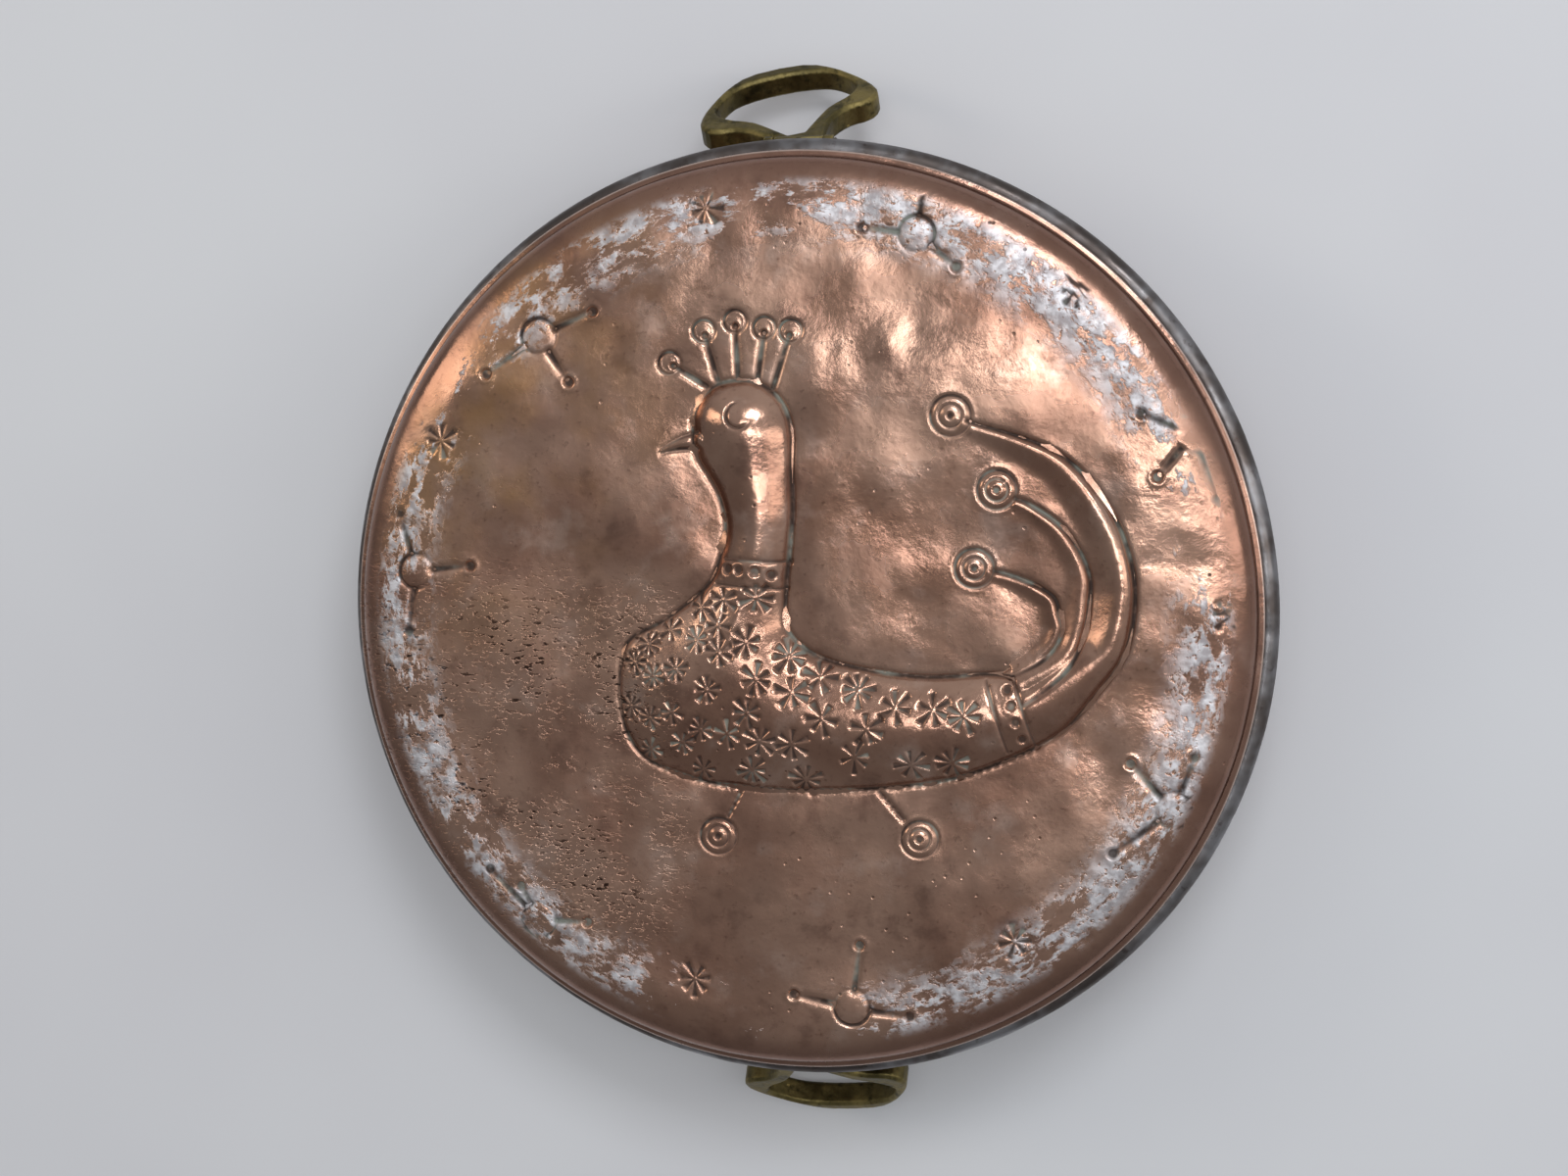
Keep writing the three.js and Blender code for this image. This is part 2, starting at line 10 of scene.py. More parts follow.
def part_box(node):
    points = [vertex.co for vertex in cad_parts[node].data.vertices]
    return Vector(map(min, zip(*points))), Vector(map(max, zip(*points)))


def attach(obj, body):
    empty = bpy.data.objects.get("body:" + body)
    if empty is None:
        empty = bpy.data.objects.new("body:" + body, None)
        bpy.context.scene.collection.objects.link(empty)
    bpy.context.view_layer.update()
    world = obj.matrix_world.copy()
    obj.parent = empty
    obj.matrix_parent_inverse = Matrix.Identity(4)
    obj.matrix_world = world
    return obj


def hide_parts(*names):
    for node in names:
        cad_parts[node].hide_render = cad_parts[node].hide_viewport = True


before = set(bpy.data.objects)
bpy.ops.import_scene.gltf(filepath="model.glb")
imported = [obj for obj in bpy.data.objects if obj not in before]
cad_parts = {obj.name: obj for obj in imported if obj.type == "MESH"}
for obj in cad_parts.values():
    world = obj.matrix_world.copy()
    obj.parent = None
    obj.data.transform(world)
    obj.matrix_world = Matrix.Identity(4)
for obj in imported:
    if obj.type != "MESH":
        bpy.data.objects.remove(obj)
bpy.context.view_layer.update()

# ---- Sizes, in millimetres; boxes come from the frame ----

MM = 0.001


def node_box(node):
    """Lowest and highest corner of a CAD node in millimetres."""
    low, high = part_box(node)
    return np.array(low) / MM, np.array(high) / MM


PAN_HIGH = node_box("pan_body")[1]
LID_LOW, LID_HIGH = node_box("lid_cover")
COLLAR_LOW, COLLAR_HIGH = node_box("lid_collar")

LID_CENTRE = (LID_LOW[:2] + LID_HIGH[:2]) / 2
LID_RADIUS = 160.2
LIP_BOTTOM = LID_LOW[2]
SHEET = 1.2
LIP_TOP = LIP_BOTTOM + SHEET
SHOULDER_TOP = PAN_HIGH[2] + 12.0
DOME = 2.5
SHOULDER_RADIUS = 7.6
SKIRT_RADIUS = 157.8
FLAT_RADIUS = SKIRT_RADIUS - SHOULDER_RADIUS
TOP_LIMIT = LID_HIGH[2] - 0.15

# The lid's edge: the flat top falls a little near its edge and runs on into an oval shoulder.
EDGE_WIDTH = 13.0
EDGE_TURN = 1.18
SHOULDER_FOOT = LIP_TOP + 1.1
SHOULDER_WIDE = SHOULDER_RADIUS / (1 - math.cos(EDGE_TURN))
EDGE_RATIO = 1 / (math.tan(EDGE_TURN) * math.sin(EDGE_TURN) * SHOULDER_WIDE)
SHOULDER_FALL = (SHOULDER_TOP - SHOULDER_FOOT) / (1 + EDGE_WIDTH / 2 * EDGE_RATIO)
EDGE_SLOPE = EDGE_RATIO * SHOULDER_FALL
SHOULDER_HIGH = SHOULDER_FALL / math.sin(EDGE_TURN)

# Towards the edge of the flat top the relief fades out and the mesh stays coarse.
RELIEF_FADE = 9.0
RELIEF_LEFT = 0.12
COARSE_BORDER = 6.0

# The lip's section, from the skirt's foot round its edge to the inside: steps out and up.
LIP_SECTION = [
    (SKIRT_RADIUS, LIP_TOP, [(0.1, 0.7), (0.4, 0.25), (0.9, 0)]),
    (LID_RADIUS, LIP_TOP, [(-0.5, -0.05), (-0.1, -0.35)]),
    (LID_RADIUS, LIP_BOTTOM, [(-0.1, 0.3), (-0.5, 0.02)]),
    (SKIRT_RADIUS, LIP_BOTTOM, [(-0.6, 0.05), (-SHEET, 0.8)]),
]

# Waves of the skirt: height, number round the lid and phase.
SKIRT_WAVES = [(0.28, 3, 0.6), (0.18, 7, 2.1), (0.1, 17, 0)]
SKIRT_LOOSE = 0.18

PAN_RADIUS = 163.85
BEAD_RADIUS = 3.95
BEAD_HEIGHT = PAN_HIGH[2] - BEAD_RADIUS
WALL_LEAN = math.radians(18)
CORNER_RADIUS = 20.0
ROLL_END = -1.28 * math.pi + 0.55
FLOOR_LEVEL = 1.3

# The wall is drawn in a little, so that no dent leaves the pan's size; its rim keeps few dents.
DENT_ROOM = 0.12
RIM_DENTS = 0.12
RIM_REACH = 9

COLLAR_SHEET = 0.9
COLLAR_INSET = 4.6
COLLAR_PLAY = 0.15
COLLAR_UPRIGHT = 3.1

# How finely the turned pieces and the lid's edge are divided.
PAN_SECTORS = 256
COLLAR_SECTORS = 240
FLOOR_RINGS = 10
BEND_STEPS = 8
WALL_STEPS = 14
ROLL_STEPS = 22
SHOULDER_ROWS = 8
INNER_ROWS = 6
UNDER_SECTORS = 100
UNDER_RINGS = 22

# ---- Noise and distance fields ----


def fade(t):
    return t * t * t * (t * (t * 6 - 15) + 10)


def smooth(low, high, value):
    """Runs from 0 at low to 1 at high."""
    t = np.clip((value - low) / (high - low), 0, 1)
    return t * t * (3 - 2 * t)


def noise(x, y, cell, seed):
    """Gradient noise between about -1 and 1, with features as wide as a cell."""
    turn = np.random.default_rng(seed).uniform(0, 2 * math.pi, (128, 128))
    u = x / cell + 1000
    v = y / cell + 1000
    i = np.floor(u).astype(int)
    j = np.floor(v).astype(int)
    fu = u - i
    fv = v - j

    def corner(di, dj):
        angle = turn[(i + di) % 128, (j + dj) % 128]
        return np.cos(angle) * (fu - di) + np.sin(angle) * (fv - dj)

    su = fade(fu)
    sv = fade(fv)
    low = corner(0, 0) * (1 - su) + corner(1, 0) * su
    high = corner(0, 1) * (1 - su) + corner(1, 1) * su
    return 1.6 * (low * (1 - sv) + high * sv)


def curve(points, closed=False, steps=5):
    """A smooth line through points, as an array of (x, y)."""
    p = np.array(points, float)
    n = len(p)
    out = []
    for k in range(n if closed else n - 1):
        a = p[(k - 1) % n] if closed or k > 0 else 2 * p[0] - p[1]
        b = p[k]
        c = p[(k + 1) % n]
        d = p[(k + 2) % n] if closed or k + 2 < n else 2 * p[-1] - p[-2]
        for s in range(steps):
            t = s / steps
            out.append(
                0.5
                * (
                    2 * b
                    + (c - a) * t
                    + (2 * a - 5 * b + 4 * c - d) * t * t
                    + (3 * b - a - 3 * c + d) * t * t * t
                )
            )
    out.append(p[0] if closed else p[-1])
    return np.array(out)


def along(x, y, line):
    """Distance to a line, the side of it (left is positive) and the share of its length."""
    best = np.full(x.shape, 1e9)
    side = np.ones(x.shape)
    share = np.zeros(x.shape)
    steps = np.hypot(*(line[1:] - line[:-1]).T)
    total = steps.sum()
    start = 0.0
    for a, b, length in zip(line[:-1], line[1:], steps):
        d = (b - a) / max(length, 1e-9)
        px = x - a[0]
        py = y - a[1]
        t = np.clip(px * d[0] + py * d[1], 0, length)
        gap = np.hypot(px - t * d[0], py - t * d[1])
        near = gap < best
        best = np.where(near, gap, best)
        side = np.where(near, np.sign(d[0] * py - d[1] * px), side)
        share = np.where(near, (start + t) / total, share)
        start += length
    return best, side, share


def toward(start, end):
    """Two places as arrays, and the direction from the first to the second."""
    a = np.array(start)
    b = np.array(end)
    return a, b, (b - a) / np.linalg.norm(b - a)


def inside(x, y, line):
    """True for the points inside a closed line."""
    result = np.zeros(x.shape, bool)
    for a, b in zip(line[:-1], line[1:]):
        crosses = (a[1] > y) != (b[1] > y)
        with np.errstate(divide="ignore", invalid="ignore"):
            at = (b[0] - a[0]) * (y - a[1]) / (b[1] - a[1]) + a[0]
        result ^= crosses & (x < at)
    return result


def keyed(share, values):
    """A value that runs through a list as share goes from 0 to 1."""
    return np.interp(share, np.linspace(0, 1, len(values)), values)


# ---- The bird and the ornaments, in the lid's own frame ----

BIRD = [
    (-17.2, 81.5), (-11, 80.2), (-5.2, 76.2), (-1.5, 70.2), (0.2, 62.5), (0.2, 50.8),
    (0.6, 37.4), (-0.4, 24), (-1.8, 10.5), (-1.5, -3), (5.1, -10.3), (14.6, -14.5),
    (31.7, -17.8), (48.6, -19.1), (67, -17.6), (77.1, -18), (84.9, -42.2), (78.9, -45.1),
    (62.2, -52), (48.8, -55.5), (31.8, -57.8), (14.7, -59), (-2.5, -59.6), (-16.3, -59),
    (-30.3, -57.4), (-44.2, -53.4), (-53, -48.8), (-58.9, -40), (-61, -26.6), (-60.2, -16.3),
    (-57, -8.4), (-46.8, -2.7), (-36.3, 4.7), (-28, 12.7), (-24.2, 23.6), (-23.1, 32.1),
    (-25.2, 41.1), (-29.3, 48.5), (-32.7, 53.9), (-34.4, 60.6), (-34.4, 69), (-31.3, 75.7),
    (-25.8, 80.1),
]
BEAK = [(-32.5, 60.8), (-39, 59.6), (-45.4, 57.2)]
EYE = (-17.1, 69.7)
CREST = [
    ((-29.9, 79.4), (-43, 87.1)),
    ((-26.1, 81.4), (-30.9, 98.1)),
    ((-18.9, 82.5), (-19.9, 101.5)),
    ((-12, 81.5), (-9.6, 99.2)),
    ((-6.6, 78.9), (-0.4, 98.2)),
]
LEGS = [((-17.4, -59.7), (-25.8, -76.5)), ((30.8, -59.1), (44.8, -75.3))]
COLLAR = [((-22.4, 20.2), (0.2, 19.6)), ((-25.5, 11.8), (-1.4, 10.2))]
COLLAR_DOTS = [(-21.3, 17), (-17.2, 17), (-11.4, 16.4), (-6, 15.1)]
BAND = [((67.7, -19.5), (75.2, -43.9)), ((77.1, -18.9), (84.6, -42.3))]
BAND_DOTS = [(75.1, -22.4), (76.5, -27.7), (78.1, -33.3), (80.2, -39.2)]
FEATHERS = [
    {
        "edge": [
            (84.6, -42.3), (94.8, -35.6), (105.8, -22.7), (113.3, -12.1), (116.5, -0.8),
            (117.3, 12.7), (114.6, 25.8), (109.6, 37.2), (101.3, 48.6), (91.3, 57.4),
            (78.1, 62.9), (64.8, 66.7), (60.5, 68.2),
        ],
        "widths": [25.5, 23, 18, 15, 14, 12, 9, 5],
        "heights": [5.7, 5.4, 4.4, 3.6, 3, 2.4, 1.7, 0.5],
    },
    {
        "edge": [
            (80.7, -27.6), (91, -19.7), (97.2, -12.5), (100.8, -2.5), (102, 5.8), (102.2, 15.7),
            (98.2, 25.6), (91.5, 33.7), (81.6, 40.2), (77, 42),
        ],
        "widths": [13, 12, 9, 9, 8, 6, 4],
        "heights": [3.2, 3, 2.2, 1.9, 1.5, 1.2, 0.5],
    },
    {
        "edge": [
            (77.1, -17.9), (85.5, -13.5), (90.6, -8.4), (93.1, -2), (92, 3.6), (90.1, 8.9),
            (83.5, 13.1), (75.1, 16.2), (69.8, 17.4),
        ],
        "widths": [4, 6, 6, 5, 4],
        "heights": [0.8, 1.3, 1.4, 1.2, 0.5],
    },
]
TARGETS = [
    (54.8, 69.9, 6.9), (70.6, 45, 6.6), (63.1, 18.3, 6.6), (-25.8, -76.5, 6.3), (44.8, -75.3, 6.3),
]
TRIPODS = [
    ((-89.7, 96.4), [(-108.6, 83.1), (-70.4, 104.8), (-78.9, 80.5)]),
    ((42.5, 131), [(23.8, 133.1), (56.2, 119.8), (45.1, 148.9)]),
    ((135.9, 64.3), [(118.6, 71), (124.4, 49.9), (143.6, 41.6)]),
    ((131, -62.5), [(137.9, -44.6), (116.4, -47), (110.8, -77.9)]),
    ((21.1, -135.6), [(23.8, -113.4), (0.6, -131.7), (41.3, -138.1)]),
    ((-91.4, -109.4), [(-109.3, -91.8), (-97.8, -97.3), (-73.5, -109.3)]),
    ((-135.2, 13.8), [(-141.4, 33.8), (-115.4, 15.9), (-138.4, -7.7)]),
]
RIM_STARS = [
    (-30.4, 140), (96.7, 111.9), (148.4, 4.1), (77.7, -109.7), (-34.7, -127.8), (-125.3, 59.8),
]

# Half the width of the body by x, and of the neck by y.
BODY_HALF = ([-60, -33, 0, 20, 40, 60, 80], [26, 28, 25.5, 21.5, 19, 17, 13.5])
NECK_HALF = ([3, 12, 24, 35, 45, 58, 72], [18, 14, 12.2, 12.4, 14.2, 17.3, 17])

# Stars on the body: how many places are tried, how near the outline they come, how close they lie
# for their size, and the slanting line by the tail that they stay behind. Then the small domes
# along the belly.
STAR_TRIES = 3000
STAR_MARGIN = 4.2
STAR_SPACING = 0.88
STAR_STOP = 62
STAR_STOP_SLOPE = 0.25
PEARL_SPACING = 3.1

# A leg is a row of short strokes that stops this share of its length before its foot.
LEG_STROKES = 5
LEG_GAP = 0.38

# The rise beside a feather's drawn edge is scaled so that its highest point is 1.
DRAWN_SCALE = 5.34


def bird_skin():
    """The bird's outline, open where the body runs on into the tail."""
    return curve(BIRD[16:] + BIRD[:16])


def bird_line():
    """The bird's outline, closed straight across the tail."""
    skin = bird_skin()
    return np.vstack([skin, skin[:1]])


def star_places():
    """Punched stars scattered over the bird's body: (x, y, petals, petal length, turn)."""
    rng = np.random.default_rng(11)
    line = bird_line()
    x = rng.uniform(-58, 70, STAR_TRIES)
    y = rng.uniform(-57, 9, STAR_TRIES)
    good = inside(x, y, line) & (along(x, y, line)[0] > STAR_MARGIN)
    good &= x < STAR_STOP + STAR_STOP_SLOPE * (y + 30)
    length = 4.4 + 1.7 * smooth(-40, 0, x)
    places = []
    for here, size in zip(np.stack([x, y], 1)[good], length[good]):
        if all(math.dist(here, p[:2]) > STAR_SPACING * (size + p[3]) for p in places):
            places.append((*here, int(rng.integers(6, 9)), size, rng.uniform(0, 1)))
    return places


# ---- The lid's surface ----


class Field:
    """Heights above the plain dome, and how deep in dirt each point lies."""

    def __init__(self, x, y):
        self.x = x
        self.y = y
        self.height = np.zeros(x.shape)
        self.dirt = np.zeros(x.shape)

    def near(self, cx, cy, reach):
        return np.nonzero((abs(self.x - cx) < reach) & (abs(self.y - cy) < reach))[0]

    def around(self, cx, cy, reach):
        """The points in a square round a place, and how far right and up of it each lies."""
        index = self.near(cx, cy, reach)
        return index, self.x[index] - cx, self.y[index] - cy

    def sink(self, index, depth, dirt):
        self.height[index] -= depth
        self.dirt[index] = np.maximum(self.dirt[index], dirt)

    def groove(self, line, depth, width, dirt=1.0, taper=None):
        """A round groove along a line, with its depth run through taper from end to end."""
        low = line.min(0) - 3 * width
        high = line.max(0) + 3 * width
        index = np.nonzero(
            (self.x > low[0]) & (self.x < high[0]) & (self.y > low[1]) & (self.y < high[1])
        )[0]
        gap, _, share = along(self.x[index], self.y[index], line)
        cut = np.exp(-((gap / width) ** 2))
        if taper is not None:
            cut = cut * keyed(share, taper)
        self.sink(index, depth * cut, dirt * cut**0.6)

    def ring(self, cx, cy, radius, depth, width, dirt=1.0, lopsided=0.0, turn=0.0):
        """A punched ring, deeper towards turn where it is lopsided."""
        index, dx, dy = self.around(cx, cy, radius + 4 * width)
        reach = np.hypot(dx, dy)
        heavy = 1 + lopsided * np.cos(np.arctan2(dy, dx) - turn)
        cut = np.exp(-(((reach - radius) / width) ** 2)) * np.clip(heavy, 0, 2)
        self.sink(index, depth * cut, dirt * np.clip(cut, 0, 1))

    def dot(self, cx, cy, radius, depth, dirt=1.0):
        """A punched dot with a slight wall pushed up round it."""
        index, dx, dy = self.around(cx, cy, 2.4 * radius)
        reach = np.hypot(dx, dy) / radius
        cut = 1 - smooth(0.65, 1.15, reach)
        self.sink(index, depth * cut, dirt * cut)
        self.height[index] += 0.25 * depth * np.exp(-(((reach - 1.45) / 0.28) ** 2))

    def dome(self, cx, cy, radius, height):
        index, dx, dy = self.around(cx, cy, radius)
        reach = np.hypot(dx, dy) / radius
        self.height[index] += height * np.clip(1 - reach**2, 0, 1) ** 1.5

    def petal(self, cx, cy, angle, length, depth):
        """A wedge punched point first: narrow at the middle of the star and wide outside."""
        index, dx, dy = self.around(cx, cy, length + 1.5)
        out = (dx * math.cos(angle) + dy * math.sin(angle)) / length
        across = abs(dy * math.cos(angle) - dx * math.sin(angle))
        half = 0.2 + 0.26 * length * np.clip(out, 0, 1) ** 1.1
        ends = smooth(0.02, 0.2, out) * (1 - smooth(0.86, 1.04, out))
        cut = (1 - smooth(0.35, 1.0, across / half)) * ends
        self.sink(index, depth * cut * (0.4 + 0.6 * np.clip(out, 0, 1)), 0.85 * cut)

    def star(self, cx, cy, petals, length, turn, depth=0.8):
        """A ring of petals, a little uneven as if each were struck by hand."""
        for k in range(petals):
            wobble = 0.16 * math.sin(7.3 * k + 3.1 * cx)
            size = length * (1 + 0.14 * math.sin(4.1 * k + cy))
            self.petal(cx, cy, 2 * math.pi * (k + turn) / petals + wobble, size, depth)


def raise_bird(field):
    """The body and neck are half round; the body runs on into the tail without an end."""
    index = field.near(10, 12, 110)
    x = field.x[index]
    y = field.y[index]
    skin = bird_skin()
    gap = along(x, y, skin)[0]
    within = inside(x, y, bird_line())
    up = smooth(-4, 20, y)
    half = np.interp(x, *BODY_HALF) * (1 - up) + np.interp(y, *NECK_HALF) * up
    body = 8.2 - 2.6 * smooth(35, 85, x) - 0.6 * smooth(-45, -60, x)
    neck = 7.2 + 0.9 * np.exp(-(((y - 66) / 14) ** 2))
    top = body * (1 - up) + neck * up
    rise = 1 - (1 - np.clip(gap / half, 0, 1)) ** 2
    field.height[index] += np.where(within, top * rise**0.85, 0)
    sunk = np.exp(-((gap / 7.0) ** 2)) * ~within
    field.height[index] -= 0.5 * sunk
    field.groove(skin, 0.75, 0.95, 0.9)


def raise_feathers(field):
    """Each feather is half round where it leaves the body, then steep at its drawn outer edge."""
    index = field.near(92, 12, 66)
    x = field.x[index]
    y = field.y[index]
    clear = ~inside(x, y, bird_line())
    for feather in FEATHERS:
        line = curve(feather["edge"], steps=12)
        gap, side, share = along(x, y, line)
        out = np.clip(gap / keyed(share, feather["widths"]), 0, 1)
        own = smooth(0.02, 0.35, share)
        body = np.sin(math.pi * out) ** 0.8
        drawn = DRAWN_SCALE * out**0.8 * (1 - out) ** 2
        form = body * (1 - own) + drawn * own
        lift = keyed(share, feather["heights"]) * form * ((side > 0) & (share > 0) & (share < 1))
        height = field.height[index]
        raised = np.maximum(height, 0.25 * height + lift)
        field.height[index] = np.where(clear & (lift > 0.01), raised, height)
        field.groove(line, 0.85, 0.85, 1.0, taper=[0.5, 1, 1, 1, 1, 0.8])


def punch_beak(field):
    """The beak is a tapering ridge with a groove along each side."""
    beak = curve(BEAK)
    index = field.near(-39, 59, 12)
    gap, _, share = along(field.x[index], field.y[index], beak)
    width = keyed(share, [2.7, 1.9, 0.7])
    ridge = np.clip(1 - (gap / width) ** 2, 0, 1) ** 0.7
    field.height[index] += keyed(share, [1.5, 1.1, 0.5]) * ridge
    spread = np.linspace(2.9, 0.6, len(beak))[:, None] * np.array([0.1, 1])
    field.groove(beak + spread, 0.4, 0.7, 0.8, taper=[1, 0.8, 0.4])
    field.groove(beak - spread, 0.6, 0.75, 1.0, taper=[1, 0.9, 0.4])


def punch_details(field):
    """The lines, rings, dots and stars on and round the bird."""
    punch_beak(field)
    field.ring(*EYE, 4.3, 0.6, 0.62, 0.8, lopsided=0.8, turn=3.6)

    for start, end in CREST:
        a, b, unit = toward(start, end)
        foot = b - 1.5 * unit
        field.ring(*end, 3.9, 0.75, 0.5, 1.0, lopsided=0.4, turn=2.2)
        field.ring(*end, 2.4, 0.22, 0.6, 0.35)
        field.dot(*foot, 1.1, 0.7, 1.0)
        field.groove(curve([a, (a + foot) / 2, foot]), 1.0, 1.0, 1.0, taper=[1.1, 1, 0.7])

    for cx, cy, radius in TARGETS:
        field.dome(cx, cy, 1.35 * radius, 1.3)
        field.ring(cx, cy, radius, 0.65, 0.65, 0.9, lopsided=0.2, turn=2.0)
        field.ring(cx, cy, 0.56 * radius, 0.5, 0.55, 0.8)
        field.dot(cx, cy, 1.25, 0.6, 0.9)

    for start, end in LEGS:
        a = np.array(start)
        stop = np.array(end) + (a - np.array(end)) * LEG_GAP
        for k in range(LEG_STROKES):
            p = a + (stop - a) * (k / LEG_STROKES)
            q = a + (stop - a) * ((k + 0.75) / LEG_STROKES)
            field.groove(np.array([p, q]), 0.6, 0.7, 0.8)

    for start, end in COLLAR + BAND:
        field.groove(curve([start, end]), 0.55, 0.6, 0.8)
    for cx, cy in COLLAR_DOTS:
        field.dot(cx, cy, 1.75, 0.75, 0.8)
    for cx, cy in BAND_DOTS:
        field.dot(cx, cy, 1.6, 0.7, 0.8)

    for place in star_places():
        field.star(*place)
    belly = curve(BIRD[16:27])
    steps = np.hypot(*(belly[1:] - belly[:-1]).T)
    run = np.concatenate([[0], np.cumsum(steps)])
    for s in np.arange(2, run[-1], PEARL_SPACING):
        cx = np.interp(s, run, belly[:, 0])
        cy = np.interp(s, run, belly[:, 1])
        field.dome(cx, cy, 1.15, 0.55)


def punch_rim(field):
    """The ornaments round the lid: rings with three stems, and single stars."""
    for (cx, cy), ends in TRIPODS:
        heavy = math.atan2(cy, cx)
        field.dome(cx, cy, 8.4, 0.7)
        field.ring(cx, cy, 6.2, 0.75, 0.7, 0.9, lopsided=0.55, turn=heavy)
        for end in ends:
            a, b, unit = toward((cx, cy), end)
            stem = np.array([a + 6.6 * unit, b - 1.4 * unit])
            field.groove(stem, 1.0, 1.15, 0.9, taper=[1.25, 1, 0.55])
            field.dot(*end, 1.9, 0.9, 0.85)
    for k, (cx, cy) in enumerate(RIM_STARS):
        field.star(cx, cy, 7, 6.2, 0.31 * k, 0.7)


# Waves beaten into the sheet: height, width, slant of each axis and seed.
BEATEN = [(0.48, 28, 0.3, 0, 4), (0.26, 15, 0, -0.2, 5), (0.1, 7.5, 0, 0, 6)]


def beaten(field):
    """Hammer marks, dents and slow waves in the sheet, gentler on the raised work."""
    x, y = field.x, field.y
    calm = 1 - 0.75 * smooth(1.5, 4.5, field.height)
    lively = 0.65 + 0.35 * smooth(-90, 90, x + y)
    marks = sum(high * noise(x + a * y, y + b * x, wide, seed) for high, wide, a, b, seed in BEATEN)
    waves = 1.05 * noise(x, y, 52, 3) + lively * marks
    field.height += calm * (waves - 0.35 * abs(noise(x, y, 33, 8)))


def lid_field(x, y):
    """The worked surface of the lid's top at some points, with its height above the ground."""
    field = Field(x, y)
    raise_bird(field)
    raise_feathers(field)
    field.raised = smooth(1.0, 4.5, field.height)
    beaten(field)
    punch_details(field)
    punch_rim(field)
    reach = np.hypot(x, y)
    fading = 1 - smooth(FLAT_RADIUS - RELIEF_FADE, FLAT_RADIUS, reach)
    field.height *= RELIEF_LEFT + (1 - RELIEF_LEFT) * fading
    fall = EDGE_SLOPE * np.maximum(reach - FLAT_RADIUS + EDGE_WIDTH, 0) ** 2 / (2 * EDGE_WIDTH)
    dome = SHOULDER_TOP + DOME * (1 - (reach / FLAT_RADIUS) ** 2) - fall
    field.surface = np.minimum(dome + field.height, TOP_LIMIT)
    return field


def disc_point(s, t, radius):
    """Spreads a square from -1 to 1 over a disc."""
    return radius * s * np.sqrt(1 - t * t / 2), radius * t * np.sqrt(1 - s * s / 2)


# Cells along the square, widths of a block in cells, and the triangles that the top may have.
GRID = 800
BLOCKS = (8, 4, 2)
TRIANGLES = 152000
TRIANGLES_PER_BLOCK = 2.5
LIMIT_ROUNDS = 14


def misfit(z, block):
    """How far a flat patch of a block's size lies from the surface, for every block."""
    size = z.shape[0] - 1
    coarse = z[::block, ::block]
    worst = np.zeros((size // block, size // block))
    for i in range(block + 1):
        for j in range(block + 1):
            u = i / block
            v = j / block
            flat = (
                coarse[:-1, :-1] * (1 - u) * (1 - v)
                + coarse[1:, :-1] * u * (1 - v)
                + coarse[:-1, 1:] * (1 - u) * v
                + coarse[1:, 1:] * u * v
            )
            real = z[i : i + size - block + 1 : block, j : j + size - block + 1 : block]
            worst = np.maximum(worst, abs(real - flat))
    return worst


def widened(mask):
    """The blocks of a mask and their neighbours."""
    out = mask.copy()
    out[1:] |= mask[:-1]
    out[:-1] |= mask[1:]
    out[:, 1:] |= mask[:, :-1]
    out[:, :-1] |= mask[:, 1:]
    return out


def gathered(mask):
    """True for each block of twice the size that holds a true one."""
    return mask[::2, ::2] | mask[1::2, ::2] | mask[::2, 1::2] | mask[1::2, 1::2]


def split_blocks(errors, limit):
    """Which blocks of each size are cut in four, so that neighbours differ by one size at most."""
    large, middle, small = (error > limit for error in errors)
    middle |= gathered(widened(small))
    large |= gathered(widened(middle))
    for mask in (middle, small):
        parent = large if mask is middle else middle
        mask &= np.repeat(np.repeat(parent, 2, 0), 2, 1)
    return large, middle, small


def block_sizes(z, inner):
    """The width of the block that each cell lies in, as fine as the triangles allow."""
    errors = [misfit(z, block) * inner[:-1:block, :-1:block] for block in BLOCKS]
    low, high = 0.0, 1.0
    for _ in range(LIMIT_ROUNDS):
        limit = (low + high) / 2
        masks = split_blocks(errors, limit)
        blocks = (GRID // BLOCKS[0]) ** 2 + 3 * sum(int(mask.sum()) for mask in masks)
        if TRIANGLES_PER_BLOCK * blocks > TRIANGLES:
            low = limit
        else:
            high = limit
    size = np.full((GRID, GRID), BLOCKS[0])
    for block, mask in zip(BLOCKS, split_blocks(errors, high)):
        fine = np.repeat(np.repeat(mask, block, 0), block, 1)
        size[fine] = block // 2
    return size


def grid_corner(i, j):
    return i * (GRID + 1) + j


def block_faces(size):
    """A quad for each block, or a fan round its middle where a neighbour is finer."""
    faces = []
    for own in (*BLOCKS, 1):
        half = own // 2
        starts = np.argwhere(size[::own, ::own] == own) * own
        for i, j in starts.tolist():
            # For each side: where it starts, its middle, and a cell just beyond it.
            sides = [
                ((i, j), (i + half, j), (i + half, j - 1)),
                ((i + own, j), (i + own, j + half), (i + own, j + half)),
                ((i + own, j + own), (i + half, j + own), (i + half, j + own)),
                ((i, j + own), (i, j + half), (i - 1, j + half)),
            ]
            ring = []
            for start, middle, beyond in sides:
                ring.append(grid_corner(*start))
                if 0 <= min(beyond) and max(beyond) < GRID and size[beyond] < own:
                    ring.append(grid_corner(*middle))
            if len(ring) == 4:
                faces.append(tuple(ring))
            else:
                hub = grid_corner(i + half, j + half)
                faces += [(hub, p, q) for p, q in zip(ring, ring[1:] + ring[:1])]
    return faces


